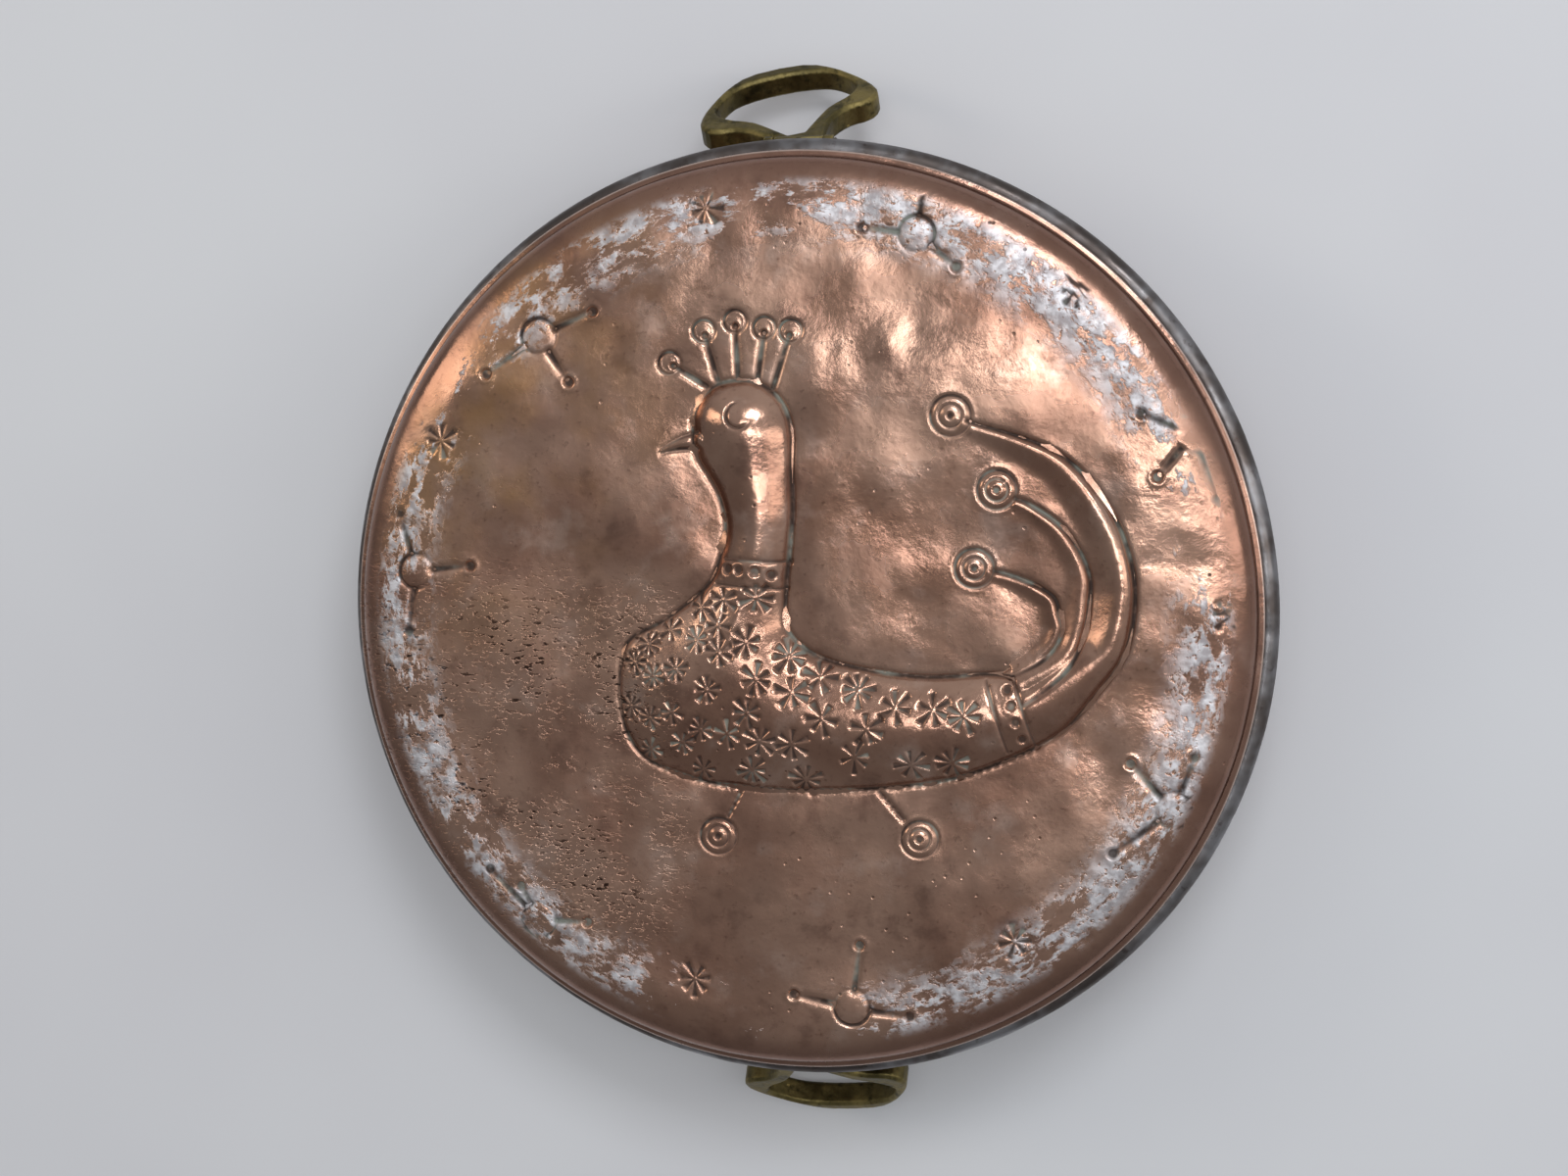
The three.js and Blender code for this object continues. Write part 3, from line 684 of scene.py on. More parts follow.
def lid_grid():
    """Corners and faces of the lid's top, on a grid that is finer where the work is fine."""
    span = np.linspace(-1, 1, GRID + 1)
    s, t = np.meshgrid(span, span, indexing="ij")
    x, y = disc_point(s, t, FLAT_RADIUS)
    field = lid_field(x.ravel(), y.ravel())
    z = field.surface.reshape(x.shape)
    faces = block_faces(block_sizes(z, np.hypot(x, y) < FLAT_RADIUS - COARSE_BORDER))
    keep = np.array(sorted({corner for face in faces for corner in face}))
    order = np.full((GRID + 1) ** 2, -1)
    order[keep] = np.arange(len(keep))
    faces = [tuple(order[corner] for corner in face) for face in faces]
    corners = np.stack([x.ravel()[keep], y.ravel()[keep], z.ravel()[keep]], 1)
    steps = range(0, GRID, BLOCKS[0])
    edge = [(k, 0) for k in steps] + [(GRID, k) for k in steps]
    edge += [(GRID - k, GRID) for k in steps] + [(0, GRID - k) for k in steps]
    border = [int(order[grid_corner(*place)]) for place in edge]
    return corners, faces, field.dirt[keep], field.raised[keep], border


# ---- Meshes ----


def place_object(name, data):
    obj = bpy.data.objects.new(name, data)
    bpy.context.scene.collection.objects.link(obj)
    return obj


def mesh_object(name, corners, faces, centre=(0, 0)):
    """A smooth mesh from corners in millimetres."""
    points = np.array(corners, float)
    points[:, 0] += centre[0]
    points[:, 1] += centre[1]
    mesh = bpy.data.meshes.new(name)
    mesh.from_pydata((points * MM).tolist(), [], [tuple(int(v) for v in face) for face in faces])
    mesh.update()
    mesh.polygons.foreach_set("use_smooth", [True] * len(mesh.polygons))
    return place_object(name, mesh)


def attribute(obj, name, values):
    layer = obj.data.attributes.new(name, "FLOAT", "POINT")
    layer.data.foreach_set("value", np.asarray(values, np.float32))


def ring_rows(rows, count, first=0, closed=False):
    """Quads between rows of corners that each go round once."""
    faces = []
    pairs = list(zip(range(len(rows) - 1), range(1, len(rows))))
    if closed:
        pairs.append((len(rows) - 1, 0))
    for a, b in pairs:
        here = first + a * count
        there = first + b * count
        for k in range(count):
            n = (k + 1) % count
            faces.append((here + k, here + n, there + n, there + k))
    return faces


def arc_points(cx, cz, radius, start, end, steps):
    angles = np.linspace(start, end, steps + 1)
    return [(cx + radius * math.cos(a), cz + radius * math.sin(a)) for a in angles]


def shoulder_points(inset, angles):
    """Points of the lid's section on its oval shoulder, or inside it by the inset."""
    wide = SHOULDER_WIDE - inset
    high = SHOULDER_HIGH - inset
    centre = SKIRT_RADIUS - SHOULDER_WIDE
    return [(centre + wide * math.cos(a), SHOULDER_FOOT + high * math.sin(a)) for a in angles]


def lid_rows():
    """Section of the lid from the edge of its flat top, over the shoulder and round the lip."""
    rows = shoulder_points(0, np.linspace(EDGE_TURN, 0, SHOULDER_ROWS + 1)[1:])
    for radius, height, steps in LIP_SECTION:
        rows += [(radius + out, height + up) for out, up in steps]
    return rows + shoulder_points(SHEET, np.linspace(0, EDGE_TURN, INNER_ROWS))


def edge_corners(rows, angles, lift):
    """Corners of the lid's rows: the first ones still follow the top's unevenness."""
    wave = sum(high * np.sin(turns * angles + phase) for high, turns, phase in SKIRT_WAVES)
    corners = []
    for n, (radius, height) in enumerate(rows):
        loose = SKIRT_LOOSE * smooth(0, 5, n) if n < SHOULDER_ROWS else 0.0
        held = max(0.0, 1 - (n + 1) / SHOULDER_ROWS)
        for angle, w, z in zip(angles, wave, lift):
            r = radius + loose * w
            corners.append((r * math.cos(angle), r * math.sin(angle), height + held * z))
    return np.array(corners)


def under_side(radius, angles, outer, start):
    """The hollow back of the lid's top: coarser rings inside the last row, closed in the middle.

    outer is the first corner of that last row, and start the first of the new corners.
    """
    count = len(angles)
    step = count // UNDER_SECTORS
    sectors = count // step
    turn = angles[::step]
    reach = np.repeat(radius * np.linspace(0.96, 0.04, UNDER_RINGS), sectors)
    x = reach * np.tile(np.cos(turn), UNDER_RINGS)
    y = reach * np.tile(np.sin(turn), UNDER_RINGS)
    z = lid_field(x, y).surface - SHEET
    faces = []
    for k in range(sectors):
        here = start + k
        after = start + (k + 1) % sectors
        turning = step * k + step // 2
        for i in range(step * k, step * k + step):
            faces.append((outer + (i + 1) % count, outer + i, here if i < turning else after))
        faces.append((outer + turning, here, after))
    faces += [face[::-1] for face in ring_rows(range(UNDER_RINGS), sectors, start)]
    last = start + (UNDER_RINGS - 1) * sectors
    hub = last + sectors
    faces += [(last + (k + 1) % sectors, last + k, hub) for k in range(sectors)]
    middle = np.array([[0, 0, z[-sectors:].mean()]])
    return np.concatenate([np.stack([x, y, z], 1), middle]), faces


def lid_cover():
    """The lid's sheet: its worked top, the shoulder, skirt and lip, and the hollow under side."""
    corners, faces, dirt, raised, border = lid_grid()
    count = len(border)
    first = len(corners)
    angles = np.array([math.atan2(corners[k][1], corners[k][0]) for k in border])
    rows = lid_rows()
    lift = corners[border, 2] - (SHOULDER_FOOT + SHOULDER_FALL)
    edge = edge_corners(rows, angles, lift)
    for k in range(count):
        n = (k + 1) % count
        faces.append((first + k, first + n, border[n], border[k]))
    faces += [face[::-1] for face in ring_rows(rows, count, first)]
    outer = first + (len(rows) - 1) * count
    below, more = under_side(rows[-1][0], angles, outer, outer + count)
    clean = np.zeros(len(edge) + len(below))
    obj = mesh_object("lid_sheet", np.concatenate([corners, edge, below]), faces + more, LID_CENTRE)
    attribute(obj, "dirt", np.concatenate([dirt, clean]))
    attribute(obj, "raised", np.concatenate([raised, clean]))
    return obj


def lathe(name, profile, sectors, centre=(0, 0), ripple=None):
    """Turns a profile of (radius, height) about Z.

    The profile is closed, or starts and ends on the axis.
    ripple moves a point: (angle, radius, height) -> (radius, height).
    """
    solid = profile[0][0] == 0
    rings = profile[1:-1] if solid else profile
    corners = []
    for radius, height in rings:
        for k in range(sectors):
            angle = 2 * math.pi * k / sectors
            r, h = ripple(angle, radius, height) if ripple else (radius, height)
            corners.append((r * math.cos(angle), r * math.sin(angle), h))
    faces = ring_rows(rings, sectors, closed=not solid)
    if solid:
        start = len(corners)
        last = start - sectors
        corners += [(0, 0, profile[0][1]), (0, 0, profile[-1][1])]
        for k in range(sectors):
            n = (k + 1) % sectors
            faces += [(start, n, k), (last + k, last + n, start + 1)]
    return mesh_object(name, corners, faces, centre)


def wall_radius(height):
    """Middle of the pan's wall at a height."""
    top = PAN_RADIUS - BEAD_RADIUS - (BEAD_RADIUS - SHEET / 2) * math.cos(WALL_LEAN)
    level = BEAD_HEIGHT + (BEAD_RADIUS - SHEET / 2) * math.sin(WALL_LEAN)
    return top - (level - height) * math.tan(WALL_LEAN)


def dented(angle, radius, height):
    """Slow dents and a fine ripple in the pan's wall, slight near the rim and none in the floor."""
    if height < FLOOR_LEVEL or radius < 5:
        return radius, height
    dent = 0.3 * math.sin(4 * angle + 1) + 0.16 * math.sin(11 * angle + height * 0.05)
    fine = math.sin(0.33 * height + angle * 160 * 0.02)
    dent += 0.12 * math.sin(23 * angle + 0.11 * height) * fine
    keep = 1.0 if height < BEAD_HEIGHT - RIM_REACH else RIM_DENTS
    return min(radius + keep * dent - DENT_ROOM, PAN_RADIUS), min(height, PAN_HIGH[2])


def pan_shell():
    """The pan's sheet with its corner bend and rolled rim."""
    half = SHEET / 2
    end = half + CORNER_RADIUS * (1 - math.sin(WALL_LEAN))
    bottom = wall_radius(end) - CORNER_RADIUS * math.cos(WALL_LEAN)
    level = half + CORNER_RADIUS
    bend = arc_points(bottom, level, CORNER_RADIUS, -math.pi / 2, -WALL_LEAN, BEND_STEPS)
    roll = (PAN_RADIUS - BEAD_RADIUS, BEAD_HEIGHT, BEAD_RADIUS - half)
    turn = arc_points(*roll, math.pi - WALL_LEAN, ROLL_END, ROLL_STEPS)
    middle = [(bottom * k / FLOOR_RINGS, half) for k in range(FLOOR_RINGS)] + bend
    heights = np.linspace(bend[-1][1], turn[0][1], WALL_STEPS)[1:-1]
    path = np.array(middle + [(wall_radius(h), h) for h in heights] + turn)
    run = np.gradient(path, axis=0)
    run /= np.linalg.norm(run, axis=1)[:, None]
    left = np.stack([-run[:, 1], run[:, 0]], 1) * half
    outer = path - left
    inner = path + left
    outer[:FLOOR_RINGS, 1] = 0.0
    outer[0, 0] = inner[0, 0] = 0.0
    profile = [tuple(p) for p in outer] + [tuple(p) for p in inner[::-1]]
    obj = lathe("pan_shell", profile, PAN_SECTORS, ripple=dented)

    radii, heights = np.array(profile).T
    rolled = heights > BEAD_HEIGHT - BEAD_RADIUS - 1
    rolled &= radii > PAN_RADIUS - 2 * BEAD_RADIUS - 0.4
    within = np.arange(len(profile)) >= len(path)
    for name, zone in (("inside", within), ("bead", rolled)):
        attribute(obj, name, np.concatenate([np.repeat(zone[1:-1], PAN_SECTORS), zone[[0, -1]]]))
    return obj


def collar_ring():
    """The tinned strip inside the lid: it leans with the pan's wall and ends upright."""
    low = COLLAR_LOW[2]
    high = COLLAR_HIGH[2]
    outside = (COLLAR_HIGH[0] - COLLAR_LOW[0]) / 2
    foot = outside - COLLAR_INSET
    rim = foot + (PAN_HIGH[2] - 3 - low) * math.tan(WALL_LEAN)
    upright = outside - COLLAR_PLAY
    path = [(foot, low + 0.2), (rim, PAN_HIGH[2] - 2.6)]
    path += [(upright, high - COLLAR_UPRIGHT), (upright, high)]
    profile = path + [(r - COLLAR_SHEET, h) for r, h in reversed(path)]
    return lathe("tinned_collar", profile, COLLAR_SECTORS, LID_CENTRE)


# ---- Materials ----


def linear(text):
    """A colour written as six hexadecimal digits, as linear red, green and blue."""
    values = [int(text[k : k + 2], 16) / 255 for k in (0, 2, 4)]
    return [v / 12.92 if v <= 0.04045 else ((v + 0.055) / 1.055) ** 2.4 for v in values] + [1.0]


class Shader:
    """A short way of writing a material's nodes."""

    def __init__(self, name):
        self.material = bpy.data.materials.new(name)
        self.material.use_nodes = True
        self.tree = self.material.node_tree
        self.bsdf = self.tree.nodes["Principled BSDF"]

    def add(self, kind, inputs=(), **settings):
        node = self.tree.nodes.new(kind)
        for key, value in settings.items():
            setattr(node, key, value)
        for key, value in dict(inputs).items():
            self.put(node.inputs[key], value)
        return node

    def put(self, socket, value):
        if isinstance(value, bpy.types.NodeSocket):
            self.tree.links.new(value, socket)
        elif value is not None:
            socket.default_value = linear(value) if isinstance(value, str) else value

    def place(self, scale=(1, 1, 1), turn=(0, 0, 0)):
        coordinates = self.add("ShaderNodeTexCoord").outputs["Object"]
        inputs = {"Vector": coordinates, "Scale": scale, "Rotation": turn}
        return self.add("ShaderNodeMapping", inputs).outputs[0]

    def noise(self, scale, detail=3, rough=0.55, vector=None, distortion=0.0):
        inputs = {"Scale": scale, "Detail": detail, "Roughness": rough, "Distortion": distortion}
        inputs["Vector"] = self.place() if vector is None else vector
        return self.add("ShaderNodeTexNoise", inputs).outputs["Fac"]

    def cells(self, scale, feature="F1"):
        inputs = {"Vector": self.place(), "Scale": scale}
        return self.add("ShaderNodeTexVoronoi", inputs, feature=feature).outputs["Distance"]

    def ramp(self, value, low, high, start=0.0, end=1.0):
        inputs = {"Value": value, "From Min": low, "From Max": high, "To Min": start, "To Max": end}
        return self.add("ShaderNodeMapRange", inputs, interpolation_type="SMOOTHSTEP").outputs[0]

    def math(self, operation, a, b=None):
        return self.add("ShaderNodeMath", {0: a, 1: b}, operation=operation).outputs[0]

    def times(self, a, b):
        return self.math("MULTIPLY", a, b)

    def vector(self, operation, a, b=None, output="Vector"):
        node = self.add("ShaderNodeVectorMath", {0: a, 1: b}, operation=operation)
        return node.outputs[output]

    def mix(self, factor, a, b):
        inputs = {"Factor": factor, "A": a, "B": b}
        return self.add("ShaderNodeMix", inputs, data_type="RGBA").outputs["Result"]

    def level(self, factor, a, b):
        return self.add("ShaderNodeMix", {0: factor, 2: a, 3: b}, data_type="FLOAT").outputs[0]

    def bump(self, height, strength, distance, below=None):
        inputs = {"Height": height, "Strength": strength, "Distance": distance, "Normal": below}
        return self.add("ShaderNodeBump", inputs).outputs["Normal"]

    def value(self, name):
        return self.add("ShaderNodeAttribute", attribute_name=name).outputs["Fac"]

    def finish(self, colour, metallic, roughness, normal=None):
        values = {"Base Color": colour, "Metallic": metallic, "Roughness": roughness}
        for name, value in {**values, "Normal": normal}.items():
            self.put(self.bsdf.inputs[name], value)
        return self.material


# Where the grey residue of the tinning has stayed: azimuth and half width in degrees, and how much.
TIN_PATCHES = [
    (58, 42, 1.0), (120, 26, 0.8), (186, 40, 0.75), (232, 22, 0.8), (-22, 34, 1.0), (-62, 22, 0.85),
]
TIN_BAND = (124, 140)
# Insets from the lid's outer edge, in millimetres: the lip's painted highlight starts at the first
# and is full at the second.
LIP_HIGHLIGHT = (0.8, 0.3)


def round_the_lid(s):
    """Distance from the lid's middle in millimetres, the direction from it, and the place."""
    place = s.add("ShaderNodeTexCoord").outputs["Object"]
    centred = s.vector("ADD", place, (-LID_CENTRE[0] * MM, -LID_CENTRE[1] * MM, 0))
    flat = s.vector("MULTIPLY", centred, (1, 1, 0))
    length = s.vector("LENGTH", flat, output="Value")
    return s.math("DIVIDE", length, MM), s.vector("NORMALIZE", flat), centred


def lid_copper(s, x, y, grain):
    """The lid's bare copper: clouds, patches and grain, and warmer at the upper left."""
    clouds = s.noise(16, 5, 0.6, distortion=0.4)
    patches = s.noise(52, 4, 0.6)
    colour = s.mix(s.ramp(clouds, 0.34, 0.66), "9b7664", "b99581")
    colour = s.mix(s.ramp(patches, 0.52, 0.75, 0.0, 0.6), colour, "ccae9e")
    colour = s.mix(s.ramp(patches, 0.28, 0.46, 0.6, 0.0), colour, "75574b")
    warm = s.times(s.ramp(x, -20, -110), s.ramp(y, -40, 60))
    warm = s.times(warm, s.ramp(s.noise(30, 3), 0.42, 0.7, 0.0, 0.6))
    colour = s.mix(warm, colour, "bb8d5c")
    return s.mix(s.ramp(grain, 0.56, 0.78, 0.0, 0.5), colour, "5a3a2e")


def lid_pits(s, x, y):
    """Dark corrosion: streaks over the lower left and a few round spots elsewhere."""
    zone = s.times(s.ramp(x, -30, -62), s.ramp(y, 25, -10))
    zone = s.times(zone, s.ramp(y, -122, -95))
    zone = s.times(zone, s.ramp(s.noise(34, 3), 0.36, 0.56))
    streaks = s.noise(1, 3, 0.6, vector=s.place((330, 760, 300), (0, 0, 0.25)))
    pits = s.times(s.ramp(streaks, 0.55, 0.63), zone)
    spots = s.ramp(s.cells(210), 0.16, 0.06)
    spots = s.times(spots, s.ramp(s.noise(24, 3), 0.52, 0.66, 0.0, 0.8))
    return s.math("MAXIMUM", pits, spots)


def lid_tin(s, reach, unit):
    """Ragged patches of tin residue in a band inside the shoulder, drawn out round the lid."""
    around = s.vector("MULTIPLY", unit, (7, 7, 0))
    outward = s.add("ShaderNodeCombineXYZ", {2: s.times(reach, 0.11)}).outputs[0]
    tin = s.noise(1.5, 6, 0.72, vector=s.vector("ADD", around, outward))
    patches = 0.0
    for azimuth, wide, strength in TIN_PATCHES:
        way = (math.cos(math.radians(azimuth)), math.sin(math.radians(azimuth)), 0)
        facing = s.vector("DOT_PRODUCT", unit, way, output="Value")
        rim = math.cos(math.radians(wide))
        lobe = s.ramp(facing, rim, 1 - 0.25 * (1 - rim))
        patches = s.math("MAXIMUM", s.times(lobe, strength), patches)
    tin = s.math("ADD", tin, s.times(s.math("SUBTRACT", patches, 0.55), 0.2))
    outer = s.ramp(reach, FLAT_RADIUS + 1.5, FLAT_RADIUS - 4)
    band = s.times(s.ramp(reach, *TIN_BAND), outer)
    tin = s.times(s.ramp(tin, 0.5, 0.58), band)
    ragged = s.ramp(s.noise(120, 5, 0.7), 0.33, 0.53)
    bare = s.ramp(s.noise(330, 3, 0.6), 0.66, 0.58)
    return s.times(s.times(tin, ragged), bare)


def copper_lid():
    """Beaten copper with pits, tin residue and dirt in the punched work, painted shade on the
    shoulder and a painted highlight along the lip.
    """
    s = Shader("beaten_copper_lid")
    reach, unit, centred = round_the_lid(s)
    parts = s.add("ShaderNodeSeparateXYZ", {0: centred})
    x = s.math("DIVIDE", parts.outputs[0], MM)
    y = s.math("DIVIDE", parts.outputs[1], MM)
    grain = s.noise(420, 4, 0.65)
    pits = lid_pits(s, x, y)
    tin = lid_tin(s, reach, unit)

    colour = lid_copper(s, x, y, grain)
    colour = s.mix(s.times(pits, 0.95), colour, "2a1d19")
    # Painted shade: the shoulder's ring is darkened all round, as if it were turned away from the
    # light.
    shoulder = s.ramp(reach, FLAT_RADIUS - 5, FLAT_RADIUS + 5)
    colour = s.mix(s.times(shoulder, 0.7), colour, "7b5c50")
    # Painted highlight: a pale line along the lip's outer edge, where the cut edge catches the
    # light.
    wear_and_highlight = s.ramp(reach, *(LID_RADIUS - inset for inset in LIP_HIGHLIGHT))
    colour = s.mix(wear_and_highlight, colour, "c9b2a6")
    tin_colour = s.mix(s.ramp(s.noise(260, 3), 0.35, 0.65), "9f9ea2", "dcdee3")
    colour = s.mix(s.times(tin, 0.86), colour, tin_colour)
    pale = s.ramp(s.noise(60, 3), 0.48, 0.64, 0.0, 0.85)
    dirt_colour = s.mix(pale, "2a1f1b", "868b82")
    dirt = s.ramp(s.value("dirt"), 0.25, 0.95)
    dirt = s.times(dirt, s.ramp(s.noise(300, 2), 0.2, 0.5, 0.55, 0.95))
    colour = s.mix(dirt, colour, dirt_colour)

    dull = s.math("MAXIMUM", s.times(dirt, 0.75), s.times(tin, 0.45))
    metallic = s.level(dull, 1.0, 0.25)
    rough = s.ramp(s.noise(38, 4), 0.3, 0.7, 0.15, 0.32)
    rough = s.level(s.times(s.value("raised"), 0.8), rough, 0.16)
    rough = s.level(tin, rough, 0.5)
    rough = s.level(dirt, rough, 0.75)
    rough = s.level(pits, rough, 0.7)

    hammered = s.bump(s.cells(115, feature="SMOOTH_F1"), 0.16, 0.0009)
    dimpled = s.bump(s.noise(170, 2, 0.5), 0.16, 0.0007, hammered)
    fine = s.bump(grain, 0.22, 0.0004, dimpled)
    normal = s.bump(s.math("SUBTRACT", tin, s.times(pits, 2.0)), 0.5, 0.0003, fine)
    return s.finish(colour, metallic, rough, normal)


def copper_pan():
    """Beaten copper with soot low on the wall, a tinned inside and a greyed rolled rim."""
    s = Shader("beaten_copper_pan")
    clouds = s.noise(14, 5, 0.62, distortion=0.5)
    grain = s.noise(300, 4, 0.65)
    colour = s.mix(s.ramp(clouds, 0.34, 0.66), "775547", "a37f6d")
    colour = s.mix(s.ramp(grain, 0.54, 0.75, 0.0, 0.5), colour, "43302a")
    height = s.math("DIVIDE", s.add("ShaderNodeSeparateXYZ", {0: s.place()}).outputs[2], MM)
    soot = s.ramp(s.noise(22, 5, 0.7), 0.35, 0.65, 0.2, 0.95)
    soot = s.times(s.ramp(height, 30, 2), soot)
    colour = s.mix(soot, colour, "2d2522")

    tin = s.mix(s.ramp(s.noise(40, 5, 0.65), 0.35, 0.65), "6f6e6d", "a3a3a4")
    tin = s.mix(s.ramp(s.noise(130, 4, 0.7), 0.58, 0.7, 0.0, 0.8), tin, "4a3a33")
    rim = s.mix(s.ramp(s.noise(26, 4, 0.65), 0.42, 0.66), "554e4b", "8b8a8c")
    rim = s.mix(s.ramp(s.noise(150, 4, 0.7), 0.57, 0.7, 0.0, 0.55), rim, "3a2c27")
    inner = s.value("inside")
    bead = s.value("bead")
    colour = s.mix(inner, colour, tin)
    colour = s.mix(bead, colour, rim)
    rough = s.level(inner, s.ramp(s.noise(38, 4), 0.3, 0.7, 0.3, 0.5), 0.5)
    rough = s.level(bead, rough, s.ramp(s.noise(70, 3), 0.35, 0.65, 0.28, 0.55))
    rough = s.level(soot, rough, 0.75)
    metallic = s.level(s.times(soot, 0.7), 1.0, 0.2)
    hammered = s.bump(s.cells(85, feature="SMOOTH_F1"), 0.35, 0.0012)
    normal = s.bump(grain, 0.25, 0.0004, hammered)
    return s.finish(colour, metallic, rough, normal)


def cast_brass():
    """Old cast brass: bright on its worn edges and dark in its hollows."""
    s = Shader("cast_brass")
    clouds = s.noise(70, 4, 0.6)
    grain = s.noise(520, 4, 0.65)
    colour = s.mix(s.ramp(clouds, 0.35, 0.65), "524a2e", "84764a")
    wear_and_highlight = s.add("ShaderNodeNewGeometry").outputs["Pointiness"]
    edge = s.ramp(wear_and_highlight, 0.51, 0.58)
    hollow = s.ramp(wear_and_highlight, 0.49, 0.43)
    colour = s.mix(s.times(edge, 0.75), colour, "bba764")
    colour = s.mix(s.ramp(s.noise(160, 4, 0.7), 0.5, 0.68, 0.0, 0.8), colour, "34301f")
    colour = s.mix(s.times(hollow, 0.8), colour, "1f2018")
    rough = s.level(edge, s.ramp(clouds, 0.3, 0.7, 0.38, 0.55), 0.3)
    coarse = s.bump(s.noise(230, 4, 0.6), 0.5, 0.0008)
    normal = s.bump(grain, 0.35, 0.0004, coarse)
    return s.finish(colour, s.level(hollow, 0.95, 0.4), rough, normal)


def plain_metal(name, dark, light, scale, rough_low, rough_high):
    """A metal with clouds of two tones, dark specks and a fine grain."""
    s = Shader(name)
    colour = s.mix(s.ramp(s.noise(scale, 5, 0.62), 0.35, 0.65), dark, light)
    specks = s.ramp(s.noise(scale * 6, 4, 0.7), 0.57, 0.72, 0.0, 0.7)
    colour = s.mix(specks, colour, "2e2622")
    rough = s.ramp(s.noise(scale * 2, 3), 0.3, 0.7, rough_low, rough_high)
    normal = s.bump(s.noise(scale * 9, 4, 0.6), 0.3, 0.0005)
    return s.finish(colour, 0.95, rough, normal)


def pale_floor():
    s = Shader("pale_floor")
    colour = s.mix(s.ramp(s.noise(3, 3), 0.3, 0.7), "cccdd1", "d2d4d7")
    return s.finish(colour, 0.0, 0.85)


# ---- Pieces ----


def coat(obj, material):
    obj.data.materials.clear()
    obj.data.materials.append(material)


def dress(obj, material, body):
    """Gives a new piece its material and the body that it moves with."""
    coat(obj, material)
    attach(obj, body)


def soften(node, voxel, rounds, material):
    """Rounds a casting or a rivet head and gives it its material."""
    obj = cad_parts[node]
    coat(obj, material)
    remesh = obj.modifiers.new("cast skin", "REMESH")
    remesh.mode = "VOXEL"
    remesh.voxel_size = voxel * MM
    remesh.use_smooth_shade = True
    relax = obj.modifiers.new("wear_and_highlight", "SMOOTH")
    relax.factor = 0.5
    relax.iterations = rounds


def build_pieces():
    lid = lid_cover()
    dress(lid, copper_lid(), "lid")
    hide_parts("lid_cover")

    collar = collar_ring()
    tinned = plain_metal("tinned_sheet", "77767a", "a9a9aa", 40, 0.35, 0.6)
    dress(collar, tinned, "lid")
    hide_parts("lid_collar")

    shell = pan_shell()
    dress(shell, copper_pan(), "pan")
    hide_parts("pan_body")

    brass = cast_brass()
    iron = plain_metal("forged_iron", "3d3936", "66605b", 90, 0.45, 0.65)
    rivet_copper = plain_metal("rivet_copper", "6b4436", "a06a55", 200, 0.35, 0.55)
    # For each kind of node: the voxel in millimetres, the rounds of smoothing, and the material.
    skins = {
        "handle_": (0.45, 2, brass),
        "hinge_bracket_": (0.4, 3, brass),
        "hinge_pin_": (0.3, 3, iron),
        "rivet_": (0.32, 4, rivet_copper),
    }
    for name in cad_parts:
        for kind, skin in skins.items():
            if name.startswith(kind):
                soften(name, *skin)
    coat(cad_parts["rim_wire"], iron)


# ---- Camera, light and floor ----


# The photograph's width and the focal length in its pixels; the place is in millimetres.
PHOTO_WIDTH = 1600
FOCAL_PIXELS = 2946
SENSOR_WIDTH = 36
CAMERA_PLACE = (192.96, 102.97, 1044.05)
CAMERA_FORWARD = (-0.19848632, -0.09393877, -0.97559145)

# The lamps, in metres: name, place, width and height, watts and tint. All face the object.
LAMP_AIM = (0, 0, 0.05)
LAMPS = [
    ("ceiling", (0.14, 0.28, 1.9), (0.6, 0.42), 3.3, "fdfdff"),
    ("tube", (0.6, 0.12, 1.8), (0.08, 0.8), 3.2, "fdfdff"),
    ("window", (0.45, 0.85, 1.4), (0.6, 0.4), 8, "fbfcff"),
    ("side", (1.15, 0.15, 1.0), (0.25, 0.9), 2.2, "fff8f2"),
    ("left", (-1.3, 0.5, 0.9), (0.4, 0.8), 3, "ffeeda"),
]

# The world's bright side, and its strength from the dark side to the bright one.
SKY_SLOPE = (0.5, 0.75, 0)
SKY_RAMP = {"From Min": -0.48, "From Max": 0.4, "To Min": 0.3, "To Max": 0.66}
SKY_TINT = "eef1f5"

FLOOR_HALF = 8.0


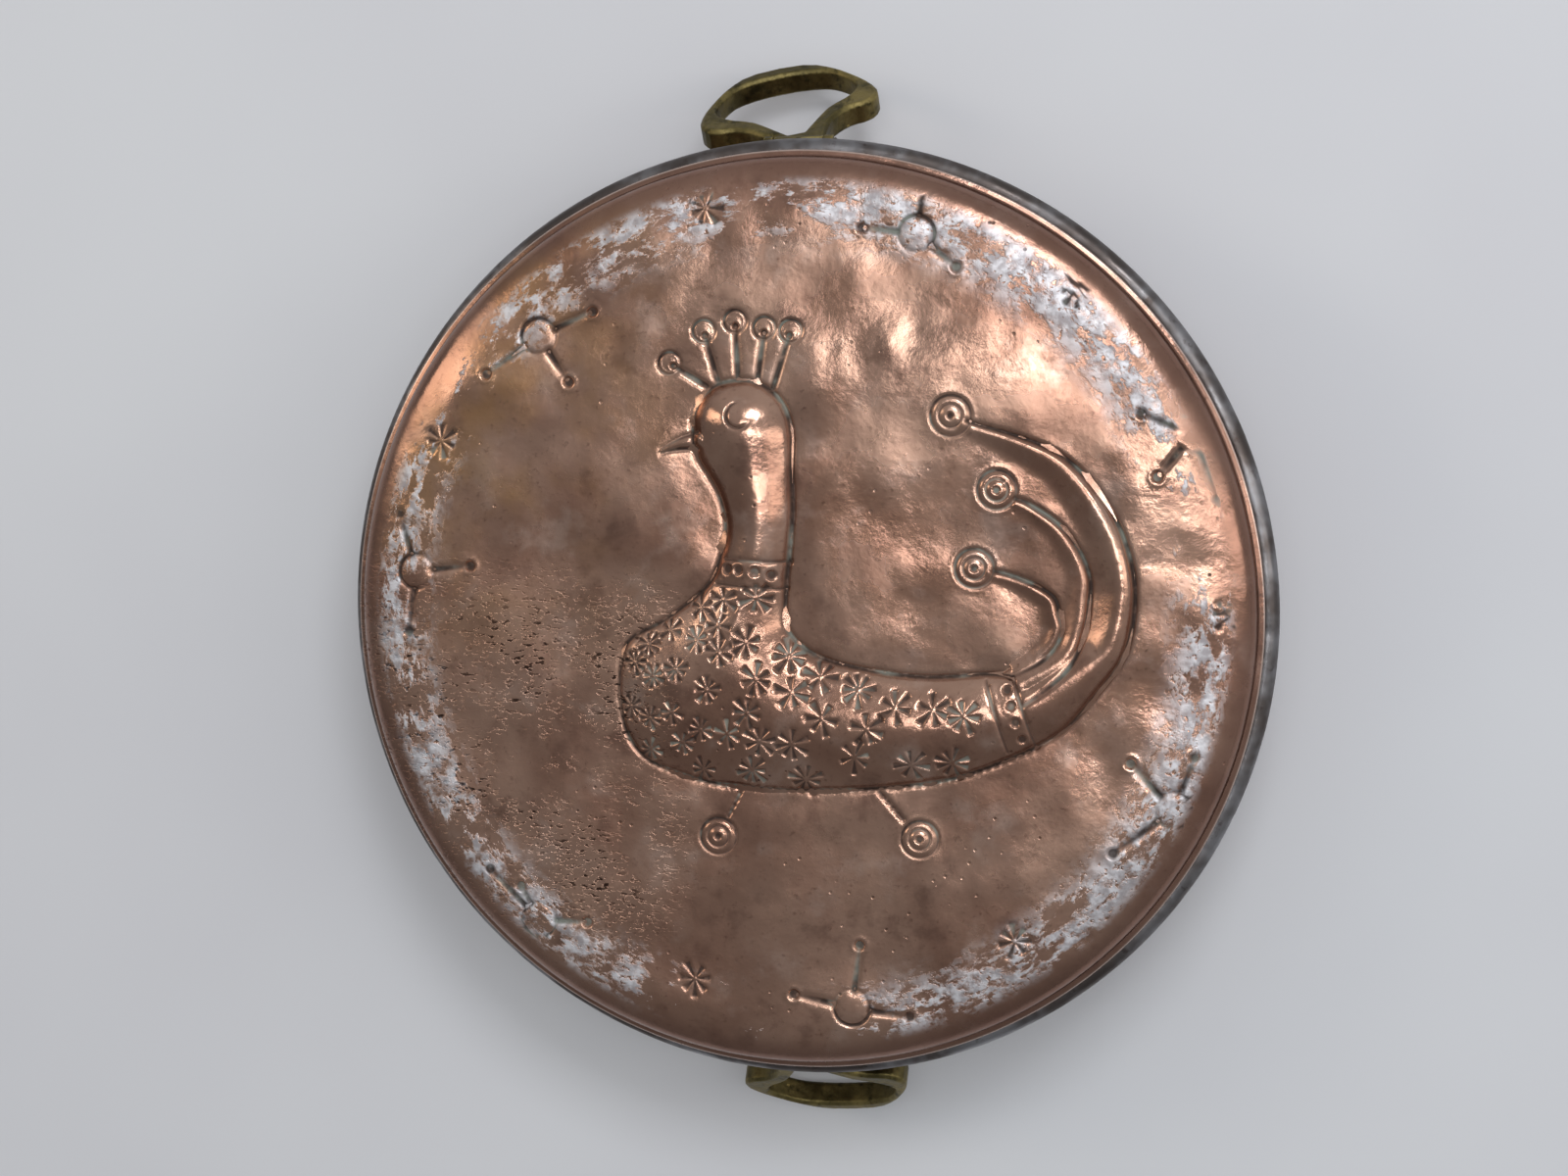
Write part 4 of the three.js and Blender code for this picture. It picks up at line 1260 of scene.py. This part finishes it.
def camera():
    """At the photograph's viewing angle: above the lid, and a little behind and to the right."""
    data = bpy.data.cameras.new("camera")
    obj = place_object("camera", data)
    data.sensor_width = SENSOR_WIDTH
    data.lens = FOCAL_PIXELS / PHOTO_WIDTH * SENSOR_WIDTH
    data.clip_start = 0.01
    data.clip_end = 50
    obj.location = Vector(CAMERA_PLACE) * MM
    forward = Vector(CAMERA_FORWARD).normalized()
    right = forward.cross(Vector((0, 1, 0))).normalized()
    up = right.cross(forward)
    obj.rotation_euler = Matrix((right, up, -forward)).transposed().to_euler()
    bpy.context.scene.camera = obj


def softbox(name, place, size, power, tint):
    """A rectangular lamp that faces the object."""
    data = bpy.data.lights.new(name, "AREA")
    data.shape = "RECTANGLE"
    data.size = size[0]
    data.size_y = size[1]
    data.energy = power
    data.color = linear(tint)[:3]
    obj = place_object(name, data)
    obj.location = place
    direction = Vector(LAMP_AIM) - Vector(place)
    obj.rotation_euler = direction.to_track_quat("-Z", "Y").to_euler()


def light():
    world = bpy.data.worlds.new("studio")
    bpy.context.scene.world = world
    world.use_nodes = True
    tree = world.node_tree
    place = tree.nodes.new("ShaderNodeTexCoord")
    slope = tree.nodes.new("ShaderNodeVectorMath")
    slope.operation = "DOT_PRODUCT"
    slope.inputs[1].default_value = SKY_SLOPE
    ramp = tree.nodes.new("ShaderNodeMapRange")
    for name, value in SKY_RAMP.items():
        ramp.inputs[name].default_value = value
    background = tree.nodes["Background"]
    background.inputs["Color"].default_value = linear(SKY_TINT)
    tree.links.new(place.outputs["Generated"], slope.inputs[0])
    tree.links.new(slope.outputs["Value"], ramp.inputs["Value"])
    tree.links.new(ramp.outputs[0], background.inputs["Strength"])
    for lamp in LAMPS:
        softbox(*lamp)


def floor():
    far = FLOOR_HALF
    mesh = bpy.data.meshes.new("floor")
    corners = [(-far, -far, 0), (far, -far, 0), (far, far, 0), (-far, far, 0)]
    mesh.from_pydata(corners, [], [(0, 1, 2, 3)])
    obj = place_object("floor", mesh)
    obj.data.materials.append(pale_floor())


# ---- The scene ----

build_pieces()
floor()
light()
camera()
bpy.context.scene.view_settings.view_transform = "Standard"

bpy.context.view_layer.update()
